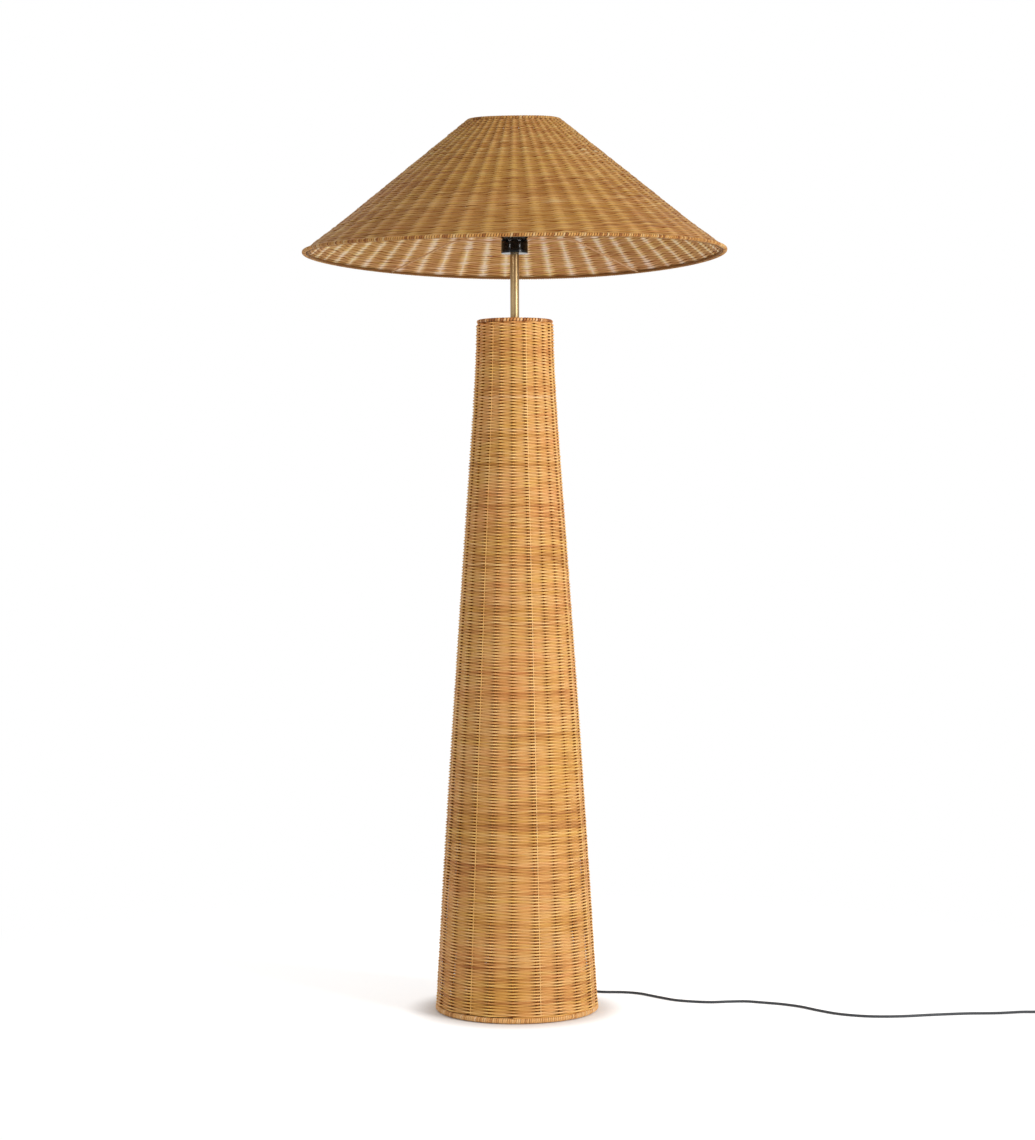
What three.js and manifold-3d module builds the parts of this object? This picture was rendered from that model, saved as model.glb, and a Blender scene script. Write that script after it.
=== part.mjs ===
// A tall floor lamp: a slim woven rattan tower on a weighted foot, a short brass tube, a black
// screw lampholder and a wide, low woven cone for a shade.
// Millimetres, +Z up. The origin is on the floor under the middle of the tower, and -Y faces
// the viewer.

import * as THREE from 'three';
import { mergeVertices } from 'three/addons/utils/BufferGeometryUtils.js';
import Module from 'manifold-3d';

const wasm = await Module();
wasm.setup();

// Clearances and facets
const gap = 0.3; // left between pieces that touch
const overrun = 3; // how far a cutter reaches past what it cuts
const towerSides = 40;
const shadeSides = 60;
const turnedSides = 24;
const smallSides = 12;
const wireSides = 6;

// Tower outline: a cone that straightens towards its top
const towerHeight = 1160;
const towerTopRadius = 65;
const towerFootRadius = 137.6;
const neckShare = 1; // how strongly the cone draws in under its top
const neckReachShare = 0.14; // how far down that reaches, of the height
const weaveThickness = 8; // at the stakes
const towerStakes = 21;
const towerFirstStake = -93; // degrees from +X
const towerFluteDepth = 2.6; // each face of the weave draws in this much between two stakes
const towerLevels = 7; // steps of the outline, closer together towards the top

// Bound edges of the tower
const footBorderHeight = 12.5;
const footBorderLift = 1.2; // clear of the floor, so that the lamp stands on its pads
const topBorderHeight = 11;
const borderThickness = 10;
const borderProud = 0.5; // how far a border stands out from the weave
const borderCorner = 2.5;
const topDiscThickness = 3.6;
const topDiscDrop = 1; // below the border's upper edge

// Welded frame inside the tower
const hoopWidth = 4;
const hoopHeight = 8;
const hoopShares = [0.34, 0.67]; // of the tower's height
const uprightCount = 6;
const uprightDiameter = 5;
const uprightStart = 20; // degrees from +X
const topPlateThickness = 3;

// Weighted foot
const padDiameter = 24;
const padHeight = 3;
const crossBarWidth = 25;
const crossBarThickness = 3;
const padInset = 34; // pad middle to the end of the cross bar
const weightRadius = 104;
const weightThickness = 14;
const weightBoltDiameter = 8;
const weightBoltHeadDiameter = 18;
const weightBoltHeadThickness = 1.8;
const weightBoltThread = 5; // that shows past the nut
const weightNutAcross = 13;
const weightNutHeight = 6.5;
const washerDiameter = 20;
const washerThickness = 1.6;

// Threaded tube, brass tube and what clamps them to the tower
const threadDiameter = 10;
const threadBore = 7;
const threadBelowPlate = 22;
const threadNutAcross = 14;
const threadNutHeight = 4;
const holeClearance = 0.4; // radial, round bolts and tubes
const flangeDiameter = 34;
const flangeThickness = 3;
const tubeDiameter = 15;
const tubeWall = 1;
const tubeLength = 112;

// Lampholder for an E27 bulb
const capDiameter = 45;
const capHeight = 19;
const capFloor = 2;
const capWall = 2;
const capCorner = 1.2;
const holderDiameter = 39;
const holderIntoCap = 10;
const holderAboveNut = 24;
const holderFloor = 6;
const holderWireHole = 8;
const socketDiameter = 26.5; // inside the screw shell
const socketWall = 0.6;
const socketDepth = 24;
const contactDiameter = 9;
const contactHeight = 2.5;
const ringNutHeight = 11;

// Shade
const shadeRimRadius = 358;
const shadeHeight = 227.9; // rim's lower edge to the top, both on average
const shadeTopRadius = 84.5;
const shadeThickness = 7.2; // at the stakes, at the top
const rimThickness = 4.8; // at the stakes, at the rim
const shadeStakes = 53;
const shadeFirstStake = -90.5; // degrees from +X
const topFluteDepth = 2.2; // each face draws in this much between two stakes, at the top
const rimFluteDepth = 1;
const rimBelowSpider = 25.1; // spider ring's underside to the rim's lower edge
const rimBandHeight = 12;
const rimBandDepth = 7.7;
const topBandHeight = 10;
const topBandDepth = 7.5;
const bandCorner = 2.4;
const rimSag = 5.9; // the rim's sides are this much above its mean height, front and back below it
const rimLean = 3.1; // the shade leans: its rim's right side is raised by this, its left side lowered
const rimWireDiameter = 4;
const topWireDiameter = 4;
const topWireInset = 2; // middle of the wire to the weave's upper edge, outwards

// Spider that carries the shade
const spiderRingDiameter = 44.6;
const spiderRingThickness = 1.6;
const spiderWireDiameter = 3.2;
const spiderAngles = [50.5, 129.5, 230.5, 309.5];
const spiderBendRadius = 159; // from the lamp's axis
const spiderBendRise = 16.5; // above the spider ring
const spiderBendReach = 17; // half of the rounded stretch
const spiderSteps = 12;

// Lead: one mains lead from the lampholder to the plug
const leadDiameter = 4.5;
const leadSides = 8;
const exitStake = 8.5; // the lead leaves between two stakes, counted from the first
const exitAngle = towerFirstStake + (360 * exitStake) / towerStakes; // degrees from +X
const grommetNeckDiameter = 9;
const grommetFlangeDiameter = 13;
const grommetFlangeThickness = 1.8;
const grommetSeat = 1; // from the flange to the wall's flutes, as the wall is curved and leans
const grommetLength = 20;
const grommetTipDiameter = 6.4;
const leadClipWidth = 8;
const leadClipWall = 2;
const leadClipFoot = 7;
const leadClipRadius = 62; // from the lamp's axis
const leadRise = 22; // how far from the axis the inner lead turns upwards
const riseShares = [[1.6, 0.35], [1.15, 1.1], [1, 2.5]]; // of that: distance from the axis, height
const climbShares = [[0.8, 0.3], [0.3, 0.8]]; // of that and of the way up: distance, height
const insideLeadSteps = 52;
const outsideLeadSteps = 76;

// Route of the lead on the floor, from the grommet's tip to the foot switch
const fallRoute = [
  [96.3, 126.2, 20.4],
  [102.4, 132.1, 18],
  [111, 136.3, 13.4],
  [121.5, 137.6, 5.7],
  [129.3, 137.5, 3.1],
];
const floorRoute = [
  [137.6, 135.5],
  [149, 131.2],
  [160, 129.6],
  [172, 129.1],
  [185, 127.8],
  [200, 123.2],
  [216, 113.5],
  [233, 95],
  [252, 74],
  [272, 55],
  [298, 43],
  [330, 36],
  [364, 41],
  [392, 42],
  [420, 31],
  [450, 17],
  [480, -6],
  [506, -38],
  [536, -68],
  [580, -88],
  [632, -90],
  [690, -78],
  [750, -68],
  [800, -66],
];

// In-line foot switch
const switchStart = 886; // its near end, along +X
const switchLine = -66; // its middle line, along Y
const switchLength = 84;
const switchWidth = 38;
const switchCorner = 14;
const switchBaseHeight = 9;
const switchCoverHeight = 11;
const switchFloor = 2.2;
const switchLift = 0.3; // clear of the floor
const switchSleeveLength = 14;
const switchSleeveDiameter = 8;
const buttonDiameter = 24;
const buttonFlange = 1.6; // radial
const buttonFlangeHeight = 2;
const buttonProud = 4;
const buttonClearance = 0.4;
const springDiameter = 9;
const springWire = 1.2;

// Coil of lead put away past the edge of the view, and its plug
const coilTurns = 6.5;
const coilClimbTurns = 0.5; // from the lower layer to the upper one
const coilPitch = 5.05; // between turns and between layers
const coilOuterRadius = 34.7; // at the middle of the lead
const coilLoopSteps = 24;
const coilSides = 6;
const coilLeadIn = 32;
const coilGapAllowed = 0.4;
const plugLeadOut = 14;
const plugSleeveLength = 20;
const plugSleeveDiameter = 7.5;
const plugLength = 34;
const plugWidth = 35;
const plugTailWidth = 15;
const plugThickness = 13.6;
const plugCorner = 4;
const pinDiameter = 4;
const pinLength = 19;
const pinSpacing = 18.6;

// Colours and surface
const rattan = { color: 0xc18a4a, roughness: 0.7, metalness: 0 };
const paleRattan = { color: 0xd0a068, roughness: 0.65, metalness: 0 };
const blackSteel = { color: 0x1d1d1f, roughness: 0.55, metalness: 0.6 };
const zincSteel = { color: 0xb4b6b8, roughness: 0.4, metalness: 0.9 };
const castIron = { color: 0x3b3c3f, roughness: 0.7, metalness: 0.5 };
const brass = { color: 0xb99350, roughness: 0.32, metalness: 1 };
const creamWire = { color: 0xd8c09a, roughness: 0.4, metalness: 0.2 };
const glossBlack = { color: 0x08080a, roughness: 0.16, metalness: 0 };
const blackPlastic = { color: 0x141416, roughness: 0.45, metalness: 0 };
const blackRubber = { color: 0x1a1a1b, roughness: 0.8, metalness: 0 };
const leadBlack = { color: 0x161618, roughness: 0.5, metalness: 0 };

// Heights that follow from the stack, from the floor up
const crossBottom = padHeight + gap;
const crossTop = crossBottom + crossBarThickness;
const weightBottom = crossTop + gap;
const weightTop = weightBottom + weightThickness;
const footBorderTop = footBorderLift + footBorderHeight;
const topBorderBottom = towerHeight - topBorderHeight;
const weaveBottom = footBorderTop + gap;
const weaveTop = topBorderBottom - gap;
const topDiscTop = towerHeight - topDiscDrop;
const topDiscBottom = topDiscTop - topDiscThickness;
const topPlateTop = topDiscBottom - gap;
const topPlateBottom = topPlateTop - topPlateThickness;
const flangeBottom = topDiscTop + gap;
const flangeTop = flangeBottom + flangeThickness;
const tubeBottom = flangeTop + gap;
const capBottom = tubeBottom + tubeLength + gap;
const capTop = capBottom + capHeight;
const spiderBottom = capTop + gap;
const spiderTop = spiderBottom + spiderRingThickness;
const ringNutBottom = spiderTop + gap;
const ringNutTop = ringNutBottom + ringNutHeight;
const holderBottom = capTop - holderIntoCap;
const holderTop = ringNutTop + holderAboveNut;
const socketBottom = holderBottom + holderFloor + gap;
const rimBottom = spiderBottom - rimBelowSpider;
const shadeTop = rimBottom + shadeHeight;
const leadExitHeight = weaveBottom + grommetFlangeDiameter / 2 + gap;
const leadRadius = leadDiameter / 2;
const leadOnFloor = leadRadius + gap / 2;
const sleeveHeight = Math.max(leadOnFloor, switchLift + switchSleeveDiameter / 2);

const up = new THREE.Vector3(0, 0, 1);
const lamp = new THREE.Group();

// Adds one named piece with its own material.
function piece(name, geometry, look) {
  const mesh = new THREE.Mesh(geometry, new THREE.MeshStandardMaterial(look));
  mesh.name = name;
  lamp.add(mesh);
  return mesh;
}

// A body turned round the Z axis from an outline of [radius, height] points, outer side rising.
function turned(outline, sides) {
  const points = outline.map(([radius, height]) => new THREE.Vector2(radius, height));
  const geometry = new THREE.LatheGeometry(points, sides);
  geometry.rotateX(Math.PI / 2);
  return geometry;
}

function closed(outline) {
  return [...outline, outline[0]];
}

function ring(innerRadius, outerRadius, bottom, top, sides) {
  const outline = [
    [innerRadius, bottom],
    [outerRadius, bottom],
    [outerRadius, top],
    [innerRadius, top],
  ];
  return turned(closed(outline), sides);
}

// A ring whose four edges are cut off at the corner size.
function softRing(innerRadius, outerRadius, bottom, top, corner, sides) {
  const outline = [
    [innerRadius, bottom],
    [outerRadius - corner, bottom],
    [outerRadius, bottom + corner],
    [outerRadius, top - corner],
    [outerRadius - corner, top],
    [innerRadius, top],
  ];
  return turned(closed(outline), sides);
}

function disc(radius, bottom, top, sides) {
  return turned([[0, bottom], [radius, bottom], [radius, top], [0, top]], sides);
}

// A round wire bent into a ring.
function wireRing(radius, height, wireRadius, sides) {
  const outline = Array.from({ length: wireSides }, (_, i) => {
    const angle = (2 * Math.PI * i) / wireSides;
    return [radius + wireRadius * Math.cos(angle), height + wireRadius * Math.sin(angle)];
  });
  return turned(closed(outline), sides);
}

function circleShape(radius, sides) {
  const points = Array.from({ length: sides }, (_, i) => {
    const angle = (2 * Math.PI * i) / sides;
    return new THREE.Vector2(radius * Math.cos(angle), radius * Math.sin(angle));
  });
  return new THREE.Shape(points);
}

// A round rod or lead along a smooth line through points.
function alongLine(points, radius, sides, steps) {
  const path = new THREE.CatmullRomCurve3(points);
  return new THREE.ExtrudeGeometry(circleShape(radius, sides), { steps, extrudePath: path });
}

// One unbroken tube through points, with square ends. Its section is carried along without twist.
function tubeThrough(points, radius, sides) {
  const count = points.length;
  const positions = [];
  const index = [];
  const side = new THREE.Vector3();
  points.forEach((point, i) => {
    const before = points[Math.max(i - 1, 0)];
    const after = points[Math.min(i + 1, count - 1)];
    const along = new THREE.Vector3().subVectors(after, before).normalize();
    if (i === 0) side.crossVectors(up, along);
    side.addScaledVector(along, -side.dot(along)).normalize();
    const over = new THREE.Vector3().crossVectors(along, side);
    for (let k = 0; k < sides; k += 1) {
      const angle = (2 * Math.PI * (k + 0.5)) / sides;
      const place = point.clone();
      place.addScaledVector(side, radius * Math.cos(angle));
      place.addScaledVector(over, radius * Math.sin(angle));
      positions.push(place.x, place.y, place.z);
    }
  });
  for (let i = 0; i < count - 1; i += 1) {
    for (let k = 0; k < sides; k += 1) {
      const next = (k + 1) % sides;
      const a = i * sides + k;
      const b = i * sides + next;
      index.push(a, b, a + sides, b, b + sides, a + sides);
    }
  }
  const last = (count - 1) * sides;
  for (let k = 1; k < sides - 1; k += 1) {
    index.push(0, k + 1, k);
    index.push(last, last + k, last + k + 1);
  }
  const geometry = new THREE.BufferGeometry();
  geometry.setAttribute('position', new THREE.Float32BufferAttribute(positions, 3));
  geometry.setIndex(index);
  return geometry;
}

function extruded(shape, bottom, height) {
  const geometry = new THREE.ExtrudeGeometry(shape, { depth: height, bevelEnabled: false });
  geometry.translate(0, 0, bottom);
  return geometry;
}

function hexNut(across, holeDiameter, bottom, height) {
  const corner = across / 2 / Math.cos(Math.PI / 6);
  const shape = circleShape(corner, 6);
  shape.holes.push(circleShape(holeDiameter / 2, smallSides));
  return extruded(shape, bottom, height);
}

function polar(radius, degrees, height) {
  const angle = THREE.MathUtils.degToRad(degrees);
  return new THREE.Vector3(radius * Math.cos(angle), radius * Math.sin(angle), height);
}

function roundedRectangle(length, width, corner) {
  const x = length / 2;
  const y = width / 2;
  const shape = new THREE.Shape();
  shape.moveTo(corner - x, -y);
  shape.lineTo(x - corner, -y);
  shape.absarc(x - corner, corner - y, corner, -Math.PI / 2, 0, false);
  shape.absarc(x - corner, y - corner, corner, 0, Math.PI / 2, false);
  shape.absarc(corner - x, y - corner, corner, Math.PI / 2, Math.PI, false);
  shape.absarc(corner - x, corner - y, corner, Math.PI, 1.5 * Math.PI, false);
  return shape;
}

function solidOf(geometry) {
  const bare = geometry.clone();
  bare.deleteAttribute('normal');
  bare.deleteAttribute('uv');
  const merged = mergeVertices(bare);
  const mesh = new wasm.Mesh({
    numProp: 3,
    vertProperties: new Float32Array(merged.attributes.position.array),
    triVerts: new Uint32Array(merged.index.array),
  });
  return new wasm.Manifold(mesh);
}

function geometryOf(solid) {
  const mesh = solid.getMesh();
  const geometry = new THREE.BufferGeometry();
  geometry.setAttribute('position', new THREE.BufferAttribute(mesh.vertProperties, 3));
  geometry.setIndex(new THREE.BufferAttribute(mesh.triVerts, 1));
  return geometry;
}

function cut(geometry, ...cutters) {
  return geometryOf(cutters.reduce((left, tool) => left.subtract(solidOf(tool)), solidOf(geometry)));
}

// A ring of weave. Its section changes between two closed outlines, one at its stakes and one
// between them, each with its outer side rising.
function fluted(atStakes, between, stakes, firstStake) {
  const count = atStakes.length;
  const positions = [];
  const index = [];
  for (let i = 0; i < 2 * stakes; i += 1) {
    const next = (i + 1) % (2 * stakes);
    const outline = i % 2 === 0 ? atStakes : between;
    outline.forEach(([radius, height], k) => {
      const place = polar(radius, firstStake + (180 * i) / stakes, height);
      positions.push(place.x, place.y, place.z);
      const rising = (k + 1) % count;
      const [a, b] = [i * count + k, next * count + k];
      const [c, d] = [i * count + rising, next * count + rising];
      index.push(a, b, c, b, d, c);
    });
  }
  const geometry = new THREE.BufferGeometry();
  geometry.setAttribute('position', new THREE.Float32BufferAttribute(positions, 3));
  geometry.setIndex(index);
  return geometry;
}

// Lays a body that was made along +Z down, so that it points outwards at an angle round the lamp.
function pointOutwards(geometry, radius, degrees, height) {
  geometry.rotateY(Math.PI / 2);
  geometry.rotateZ(THREE.MathUtils.degToRad(degrees));
  const place = polar(radius, degrees, height);
  geometry.translate(place.x, place.y, place.z);
  return geometry;
}

// Outer radius of the tower's weave at a height.
function towerRadius(height) {
  const down = (towerHeight - height) / towerHeight;
  const widening = down - neckShare * down * Math.exp(-down / neckReachShare);
  return towerTopRadius + (towerFootRadius - towerTopRadius) * widening;
}

// Height of a level of the tower's outline, from a bottom at level 0 to a top at the last one.
function levelHeight(bottom, top, level) {
  return top - (top - bottom) * (1 - level / towerLevels) ** 2;
}

// Rubber pads, cross bar, weight and the bolt that holds them together.
function makeFoot(hoopInside) {
  const half = crossBarWidth / 2;
  const barReach = Math.sqrt((hoopInside * Math.cos(Math.PI / towerSides)) ** 2 - half ** 2) - gap;
  const bar = new THREE.Shape([
    new THREE.Vector2(half, half),
    new THREE.Vector2(half, barReach),
    new THREE.Vector2(-half, barReach),
    new THREE.Vector2(-half, half),
    new THREE.Vector2(-barReach, half),
    new THREE.Vector2(-barReach, -half),
    new THREE.Vector2(-half, -half),
    new THREE.Vector2(-half, -barReach),
    new THREE.Vector2(half, -barReach),
    new THREE.Vector2(half, -half),
    new THREE.Vector2(barReach, -half),
    new THREE.Vector2(barReach, half),
  ]);
  const boltRadius = weightBoltDiameter / 2;
  const holeRadius = boltRadius + holeClearance;
  bar.holes.push(circleShape(holeRadius, smallSides));
  piece('cross_bar', extruded(bar, crossBottom, crossBarThickness), blackSteel);
  for (let i = 0; i < 4; i += 1) {
    const pad = disc(padDiameter / 2, 0, padHeight, smallSides);
    const place = polar(barReach - padInset, i * 90, 0);
    piece(`foot_pad_${i + 1}`, pad.translate(place.x, place.y, place.z), blackRubber);
  }
  piece('base_weight', ring(holeRadius, weightRadius, weightBottom, weightTop, towerSides), castIron);
  const washerBottom = weightTop + gap;
  const nutBottom = washerBottom + washerThickness + gap;
  const nutTop = nutBottom + weightNutHeight;
  piece(
    'weight_washer',
    ring(holeRadius, washerDiameter / 2, washerBottom, washerBottom + washerThickness, smallSides),
    zincSteel,
  );
  const nut = hexNut(weightNutAcross, 2 * holeRadius, nutBottom, weightNutHeight);
  piece('weight_nut', nut, zincSteel);
  const headTop = crossBottom - gap;
  const headRadius = weightBoltHeadDiameter / 2;
  const boltOutline = [
    [0, headTop - weightBoltHeadThickness],
    [headRadius, headTop - weightBoltHeadThickness],
    [headRadius, headTop],
    [boltRadius, headTop],
    [boltRadius, nutTop + weightBoltThread],
    [0, nutTop + weightBoltThread],
  ];
  piece('weight_bolt', turned(boltOutline, smallSides), zincSteel);
}

// Hoops, uprights and top plate of the welded frame, and the tower's weave round them.
function makeTower() {
  const innerRadius = (height) => towerRadius(height) - weaveThickness;
  const footHoopBottom = crossBottom;
  const footHoopTop = footHoopBottom + hoopHeight;
  const footBorderOuter = towerRadius(footBorderTop) + borderProud;
  const footHoopOuter = footBorderOuter - borderThickness - gap;
  const footHoopInner = footHoopOuter - hoopWidth;
  const topBorderOuter = towerRadius(topBorderBottom) + borderProud;
  const topHoopOuter = topBorderOuter - borderThickness - gap;
  const topHoopInner = topHoopOuter - hoopWidth;
  const topHoopTop = topDiscBottom - gap;
  const topHoopBottom = topHoopTop - hoopHeight;
  const footHoop = ring(footHoopInner, footHoopOuter, footHoopBottom, footHoopTop, towerSides);
  piece('frame_foot_hoop', footHoop, blackSteel);
  const topHoop = ring(topHoopInner, topHoopOuter, topHoopBottom, topHoopTop, towerSides);
  piece('frame_top_hoop', topHoop, blackSteel);

  const uprightRadius = uprightDiameter / 2;
  const flatShare = Math.cos(Math.PI / towerSides); // a facet's middle is this much nearer the axis
  const uprightLine = (height) => flatShare * innerRadius(height) - 2 * gap - uprightRadius;
  hoopShares.forEach((share, i) => {
    const bottom = share * towerHeight;
    const outer = uprightLine(bottom + hoopHeight) - uprightRadius - gap;
    const hoop = ring(outer - hoopWidth, outer, bottom, bottom + hoopHeight, towerSides);
    piece(`frame_middle_hoop_${i + 1}`, hoop, blackSteel);
  });
  const start = footHoopTop + gap;
  const end = topHoopBottom - gap;
  for (let i = 0; i < uprightCount; i += 1) {
    const angle = uprightStart + (i * 360) / uprightCount;
    const points = Array.from({ length: towerLevels + 1 }, (_, k) => {
      const height = levelHeight(start, end, k);
      const overHoop = k === 0 ? footHoopOuter - uprightRadius : uprightLine(height);
      return polar(Math.min(overHoop, uprightLine(height)), angle, height);
    });
    piece(`frame_upright_${i + 1}`, tubeThrough(points, uprightRadius, wireSides), blackSteel);
  }

  const threadHole = threadDiameter / 2 + holeClearance;
  const plate = ring(threadHole, topHoopInner - gap, topPlateBottom, topPlateTop, towerSides);
  piece('frame_top_plate', plate, blackSteel);

  const wallOutline = (drawnIn) => {
    const outer = [];
    const inner = [];
    for (let k = 0; k <= towerLevels; k += 1) {
      const height = levelHeight(weaveBottom, weaveTop, k);
      outer.push([towerRadius(height) - drawnIn, height]);
      inner.unshift([innerRadius(height) + drawnIn, height]);
    }
    return [...outer, ...inner];
  };
  const weave = fluted(wallOutline(0), wallOutline(towerFluteDepth), towerStakes, towerFirstStake);
  const holeRadius = grommetNeckDiameter / 2 + gap;
  const hole = disc(holeRadius, -weaveThickness, weaveThickness, smallSides);
  const wall = towerRadius(leadExitHeight) - weaveThickness / 2;
  piece('tower_weave', cut(weave, pointOutwards(hole, wall, exitAngle, leadExitHeight)), rattan);

  piece(
    'tower_foot_border',
    softRing(
      footBorderOuter - borderThickness,
      footBorderOuter,
      footBorderLift,
      footBorderTop,
      borderCorner,
      towerSides,
    ),
    paleRattan,
  );
  piece(
    'tower_top_border',
    softRing(
      topBorderOuter - borderThickness,
      topBorderOuter,
      topBorderBottom,
      towerHeight,
      borderCorner,
      towerSides,
    ),
    paleRattan,
  );
  const discRadius = topBorderOuter - borderThickness - gap;
  piece('tower_top_disc', ring(threadHole, discRadius, topDiscBottom, topDiscTop, towerSides), rattan);
  return footHoopInner;
}

// Threaded tube through the top plate, with its nut below, flange and brass tube above.
function makeStem() {
  const threadRadius = threadDiameter / 2;
  const threadHole = threadRadius + holeClearance;
  const washerTop = topPlateBottom - gap;
  const nutTop = washerTop - washerThickness - gap;
  piece(
    'thread_washer',
    ring(threadHole, washerDiameter / 2, washerTop - washerThickness, washerTop, smallSides),
    zincSteel,
  );
  piece(
    'thread_nut',
    hexNut(threadNutAcross, 2 * threadHole, nutTop - threadNutHeight, threadNutHeight),
    zincSteel,
  );
  const capNutBottom = capBottom + capFloor + gap;
  piece('cap_nut', hexNut(threadNutAcross, 2 * threadHole, capNutBottom, threadNutHeight), zincSteel);
  const threadTop = holderBottom - gap;
  piece(
    'threaded_tube',
    ring(threadBore / 2, threadRadius, topPlateBottom - threadBelowPlate, threadTop, smallSides),
    zincSteel,
  );
  piece('tube_flange', ring(threadHole, flangeDiameter / 2, flangeBottom, flangeTop, turnedSides), brass);
  const tubeRadius = tubeDiameter / 2;
  piece(
    'brass_tube',
    ring(tubeRadius - tubeWall, tubeRadius, tubeBottom, tubeBottom + tubeLength, turnedSides),
    brass,
  );
}

// Cap, holder body, screw shell, middle contact and the ring nut that clamps the shade.
function makeLampholder() {
  const capRadius = capDiameter / 2;
  const threadHole = threadDiameter / 2 + holeClearance;
  const capOutline = [
    [threadHole, capBottom],
    [capRadius - capCorner, capBottom],
    [capRadius, capBottom + capCorner],
    [capRadius, capTop],
    [capRadius - capWall, capTop],
    [capRadius - capWall, capBottom + capFloor],
    [threadHole, capBottom + capFloor],
  ];
  piece('lampholder_cap', turned(closed(capOutline), turnedSides), glossBlack);

  const holderRadius = holderDiameter / 2;
  const shellOuter = socketDiameter / 2 + socketWall;
  const holderFloorTop = holderBottom + holderFloor;
  const holderOutline = [
    [holderWireHole / 2, holderBottom],
    [holderRadius, holderBottom],
    [holderRadius, holderTop],
    [shellOuter + gap, holderTop],
    [shellOuter + gap, holderFloorTop],
    [holderWireHole / 2, holderFloorTop],
  ];
  piece('lampholder_body', turned(closed(holderOutline), turnedSides), blackPlastic);
  const shell = ring(socketDiameter / 2, shellOuter, socketBottom, socketBottom + socketDepth, turnedSides);
  piece('screw_shell', shell, brass);
  const contactTop = socketBottom + contactHeight;
  piece('middle_contact', disc(contactDiameter / 2, socketBottom, contactTop, smallSides), brass);
  const nut = softRing(
    holderRadius + gap,
    capRadius,
    ringNutBottom,
    ringNutTop,
    capCorner,
    turnedSides,
  );
  piece('shade_ring_nut', nut, glossBlack);
}

// How far the warped, leaning shade stands above its mean at a place round it.
function sagAt(radius, angle) {
  const share = radius / shadeRimRadius;
  return rimSag * Math.cos(2 * angle) * Math.sqrt(share) + rimLean * Math.cos(angle) * share;
}

function warped(geometry) {
  const places = geometry.attributes.position;
  for (let i = 0; i < places.count; i += 1) {
    const x = places.getX(i);
    const y = places.getY(i);
    places.setZ(i, places.getZ(i) + sagAt(Math.hypot(x, y), Math.atan2(y, x)));
  }
  return geometry;
}

// The cone of weave with its two bound edges and two wire rings.
function makeShade() {
  const rimFace = shadeRimRadius - rimBandDepth;
  const coneFoot = rimFace * Math.cos(Math.PI / shadeSides) - gap;
  const coneHead = (shadeTopRadius + gap) / Math.cos(Math.PI / (2 * shadeStakes));
  const coneFootTop = rimBottom + rimBandHeight - bandCorner;
  const coneHeadTop = shadeTop - bandCorner / 2;
  const upright = Math.cos(Math.atan2(coneHeadTop - coneFootTop, coneFoot - coneHead));
  const coneOutline = (rimDrawnIn, topDrawnIn) => [
    [coneFoot, coneFootTop - (rimThickness - rimDrawnIn) / upright],
    [coneFoot, coneFootTop - rimDrawnIn / upright],
    [coneHead, coneHeadTop - topDrawnIn / upright],
    [coneHead, coneHeadTop - (shadeThickness - topDrawnIn) / upright],
  ];
  const atStakes = coneOutline(0, 0);
  const between = coneOutline(rimFluteDepth, topFluteDepth);
  const cone = fluted(atStakes, between, shadeStakes, shadeFirstStake);
  piece('shade_weave', warped(cone), rattan);
  const rimBand = softRing(
    rimFace,
    shadeRimRadius,
    rimBottom,
    rimBottom + rimBandHeight,
    bandCorner,
    shadeSides,
  );
  piece('shade_rim_binding', warped(rimBand), paleRattan);
  const topBand = softRing(
    shadeTopRadius - topBandDepth,
    shadeTopRadius,
    shadeTop - topBandHeight,
    shadeTop,
    bandCorner,
    shadeSides,
  );
  piece('shade_top_binding', warped(topBand), paleRattan);

  // Middle of a wire that lies against the weave's inner face, at a distance from the axis.
  const [[, faceFoot], , , [, faceHead]] = atStakes;
  const faceSlope = Math.atan2(faceHead - faceFoot, coneFoot - coneHead);
  const insideWire = (radius, wireDiameter) => {
    const off = (wireDiameter / 2 + gap) / Math.cos(faceSlope);
    return [radius, faceFoot + (coneFoot - radius) * Math.tan(faceSlope) - off];
  };
  const rimWire = insideWire(coneFoot - gap - rimWireDiameter / 2, rimWireDiameter);
  const topWire = insideWire(coneHead + topWireInset, topWireDiameter);
  piece('shade_rim_wire', warped(wireRing(...rimWire, rimWireDiameter / 2, shadeSides)), creamWire);
  piece('shade_top_wire', warped(wireRing(...topWire, topWireDiameter / 2, shadeSides)), creamWire);
  return rimWire;
}

// Ring between cap and ring nut, and the bent wires from it to the shade's rim wire.
function makeSpider([rimWireRadius, rimWireHeight]) {
  const ringRadius = spiderRingDiameter / 2;
  piece(
    'spider_ring',
    ring(holderDiameter / 2 + gap, ringRadius, spiderBottom, spiderTop, turnedSides),
    creamWire,
  );
  const wireRadius = spiderWireDiameter / 2;
  const start = spiderBottom + spiderRingThickness / 2;
  const bend = start + spiderBendRise;
  const endRadius = (rimWireRadius - rimWireDiameter / 2) * Math.cos(Math.PI / shadeSides) - gap;
  spiderAngles.forEach((degrees, i) => {
    const end = rimWireHeight + sagAt(rimWireRadius, THREE.MathUtils.degToRad(degrees));
    const first = ringRadius + gap;
    const rise = (bend - start) / (spiderBendRadius - first);
    const fall = (bend - end) / (endRadius - spiderBendRadius);
    const reach = spiderBendReach;
    const before = (away) => polar(spiderBendRadius - away, degrees, bend - rise * away);
    const after = (away) => polar(spiderBendRadius + away, degrees, bend - fall * away);
    const points = [
      polar(first, degrees, start),
      before(2 * reach),
      before(reach),
      after(reach),
      after(2 * reach),
      polar(endRadius, degrees, end),
    ];
    const arm = alongLine(points, wireRadius, wireSides, spiderSteps);
    piece(`spider_arm_${i + 1}`, arm, creamWire);
  });
}

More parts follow.
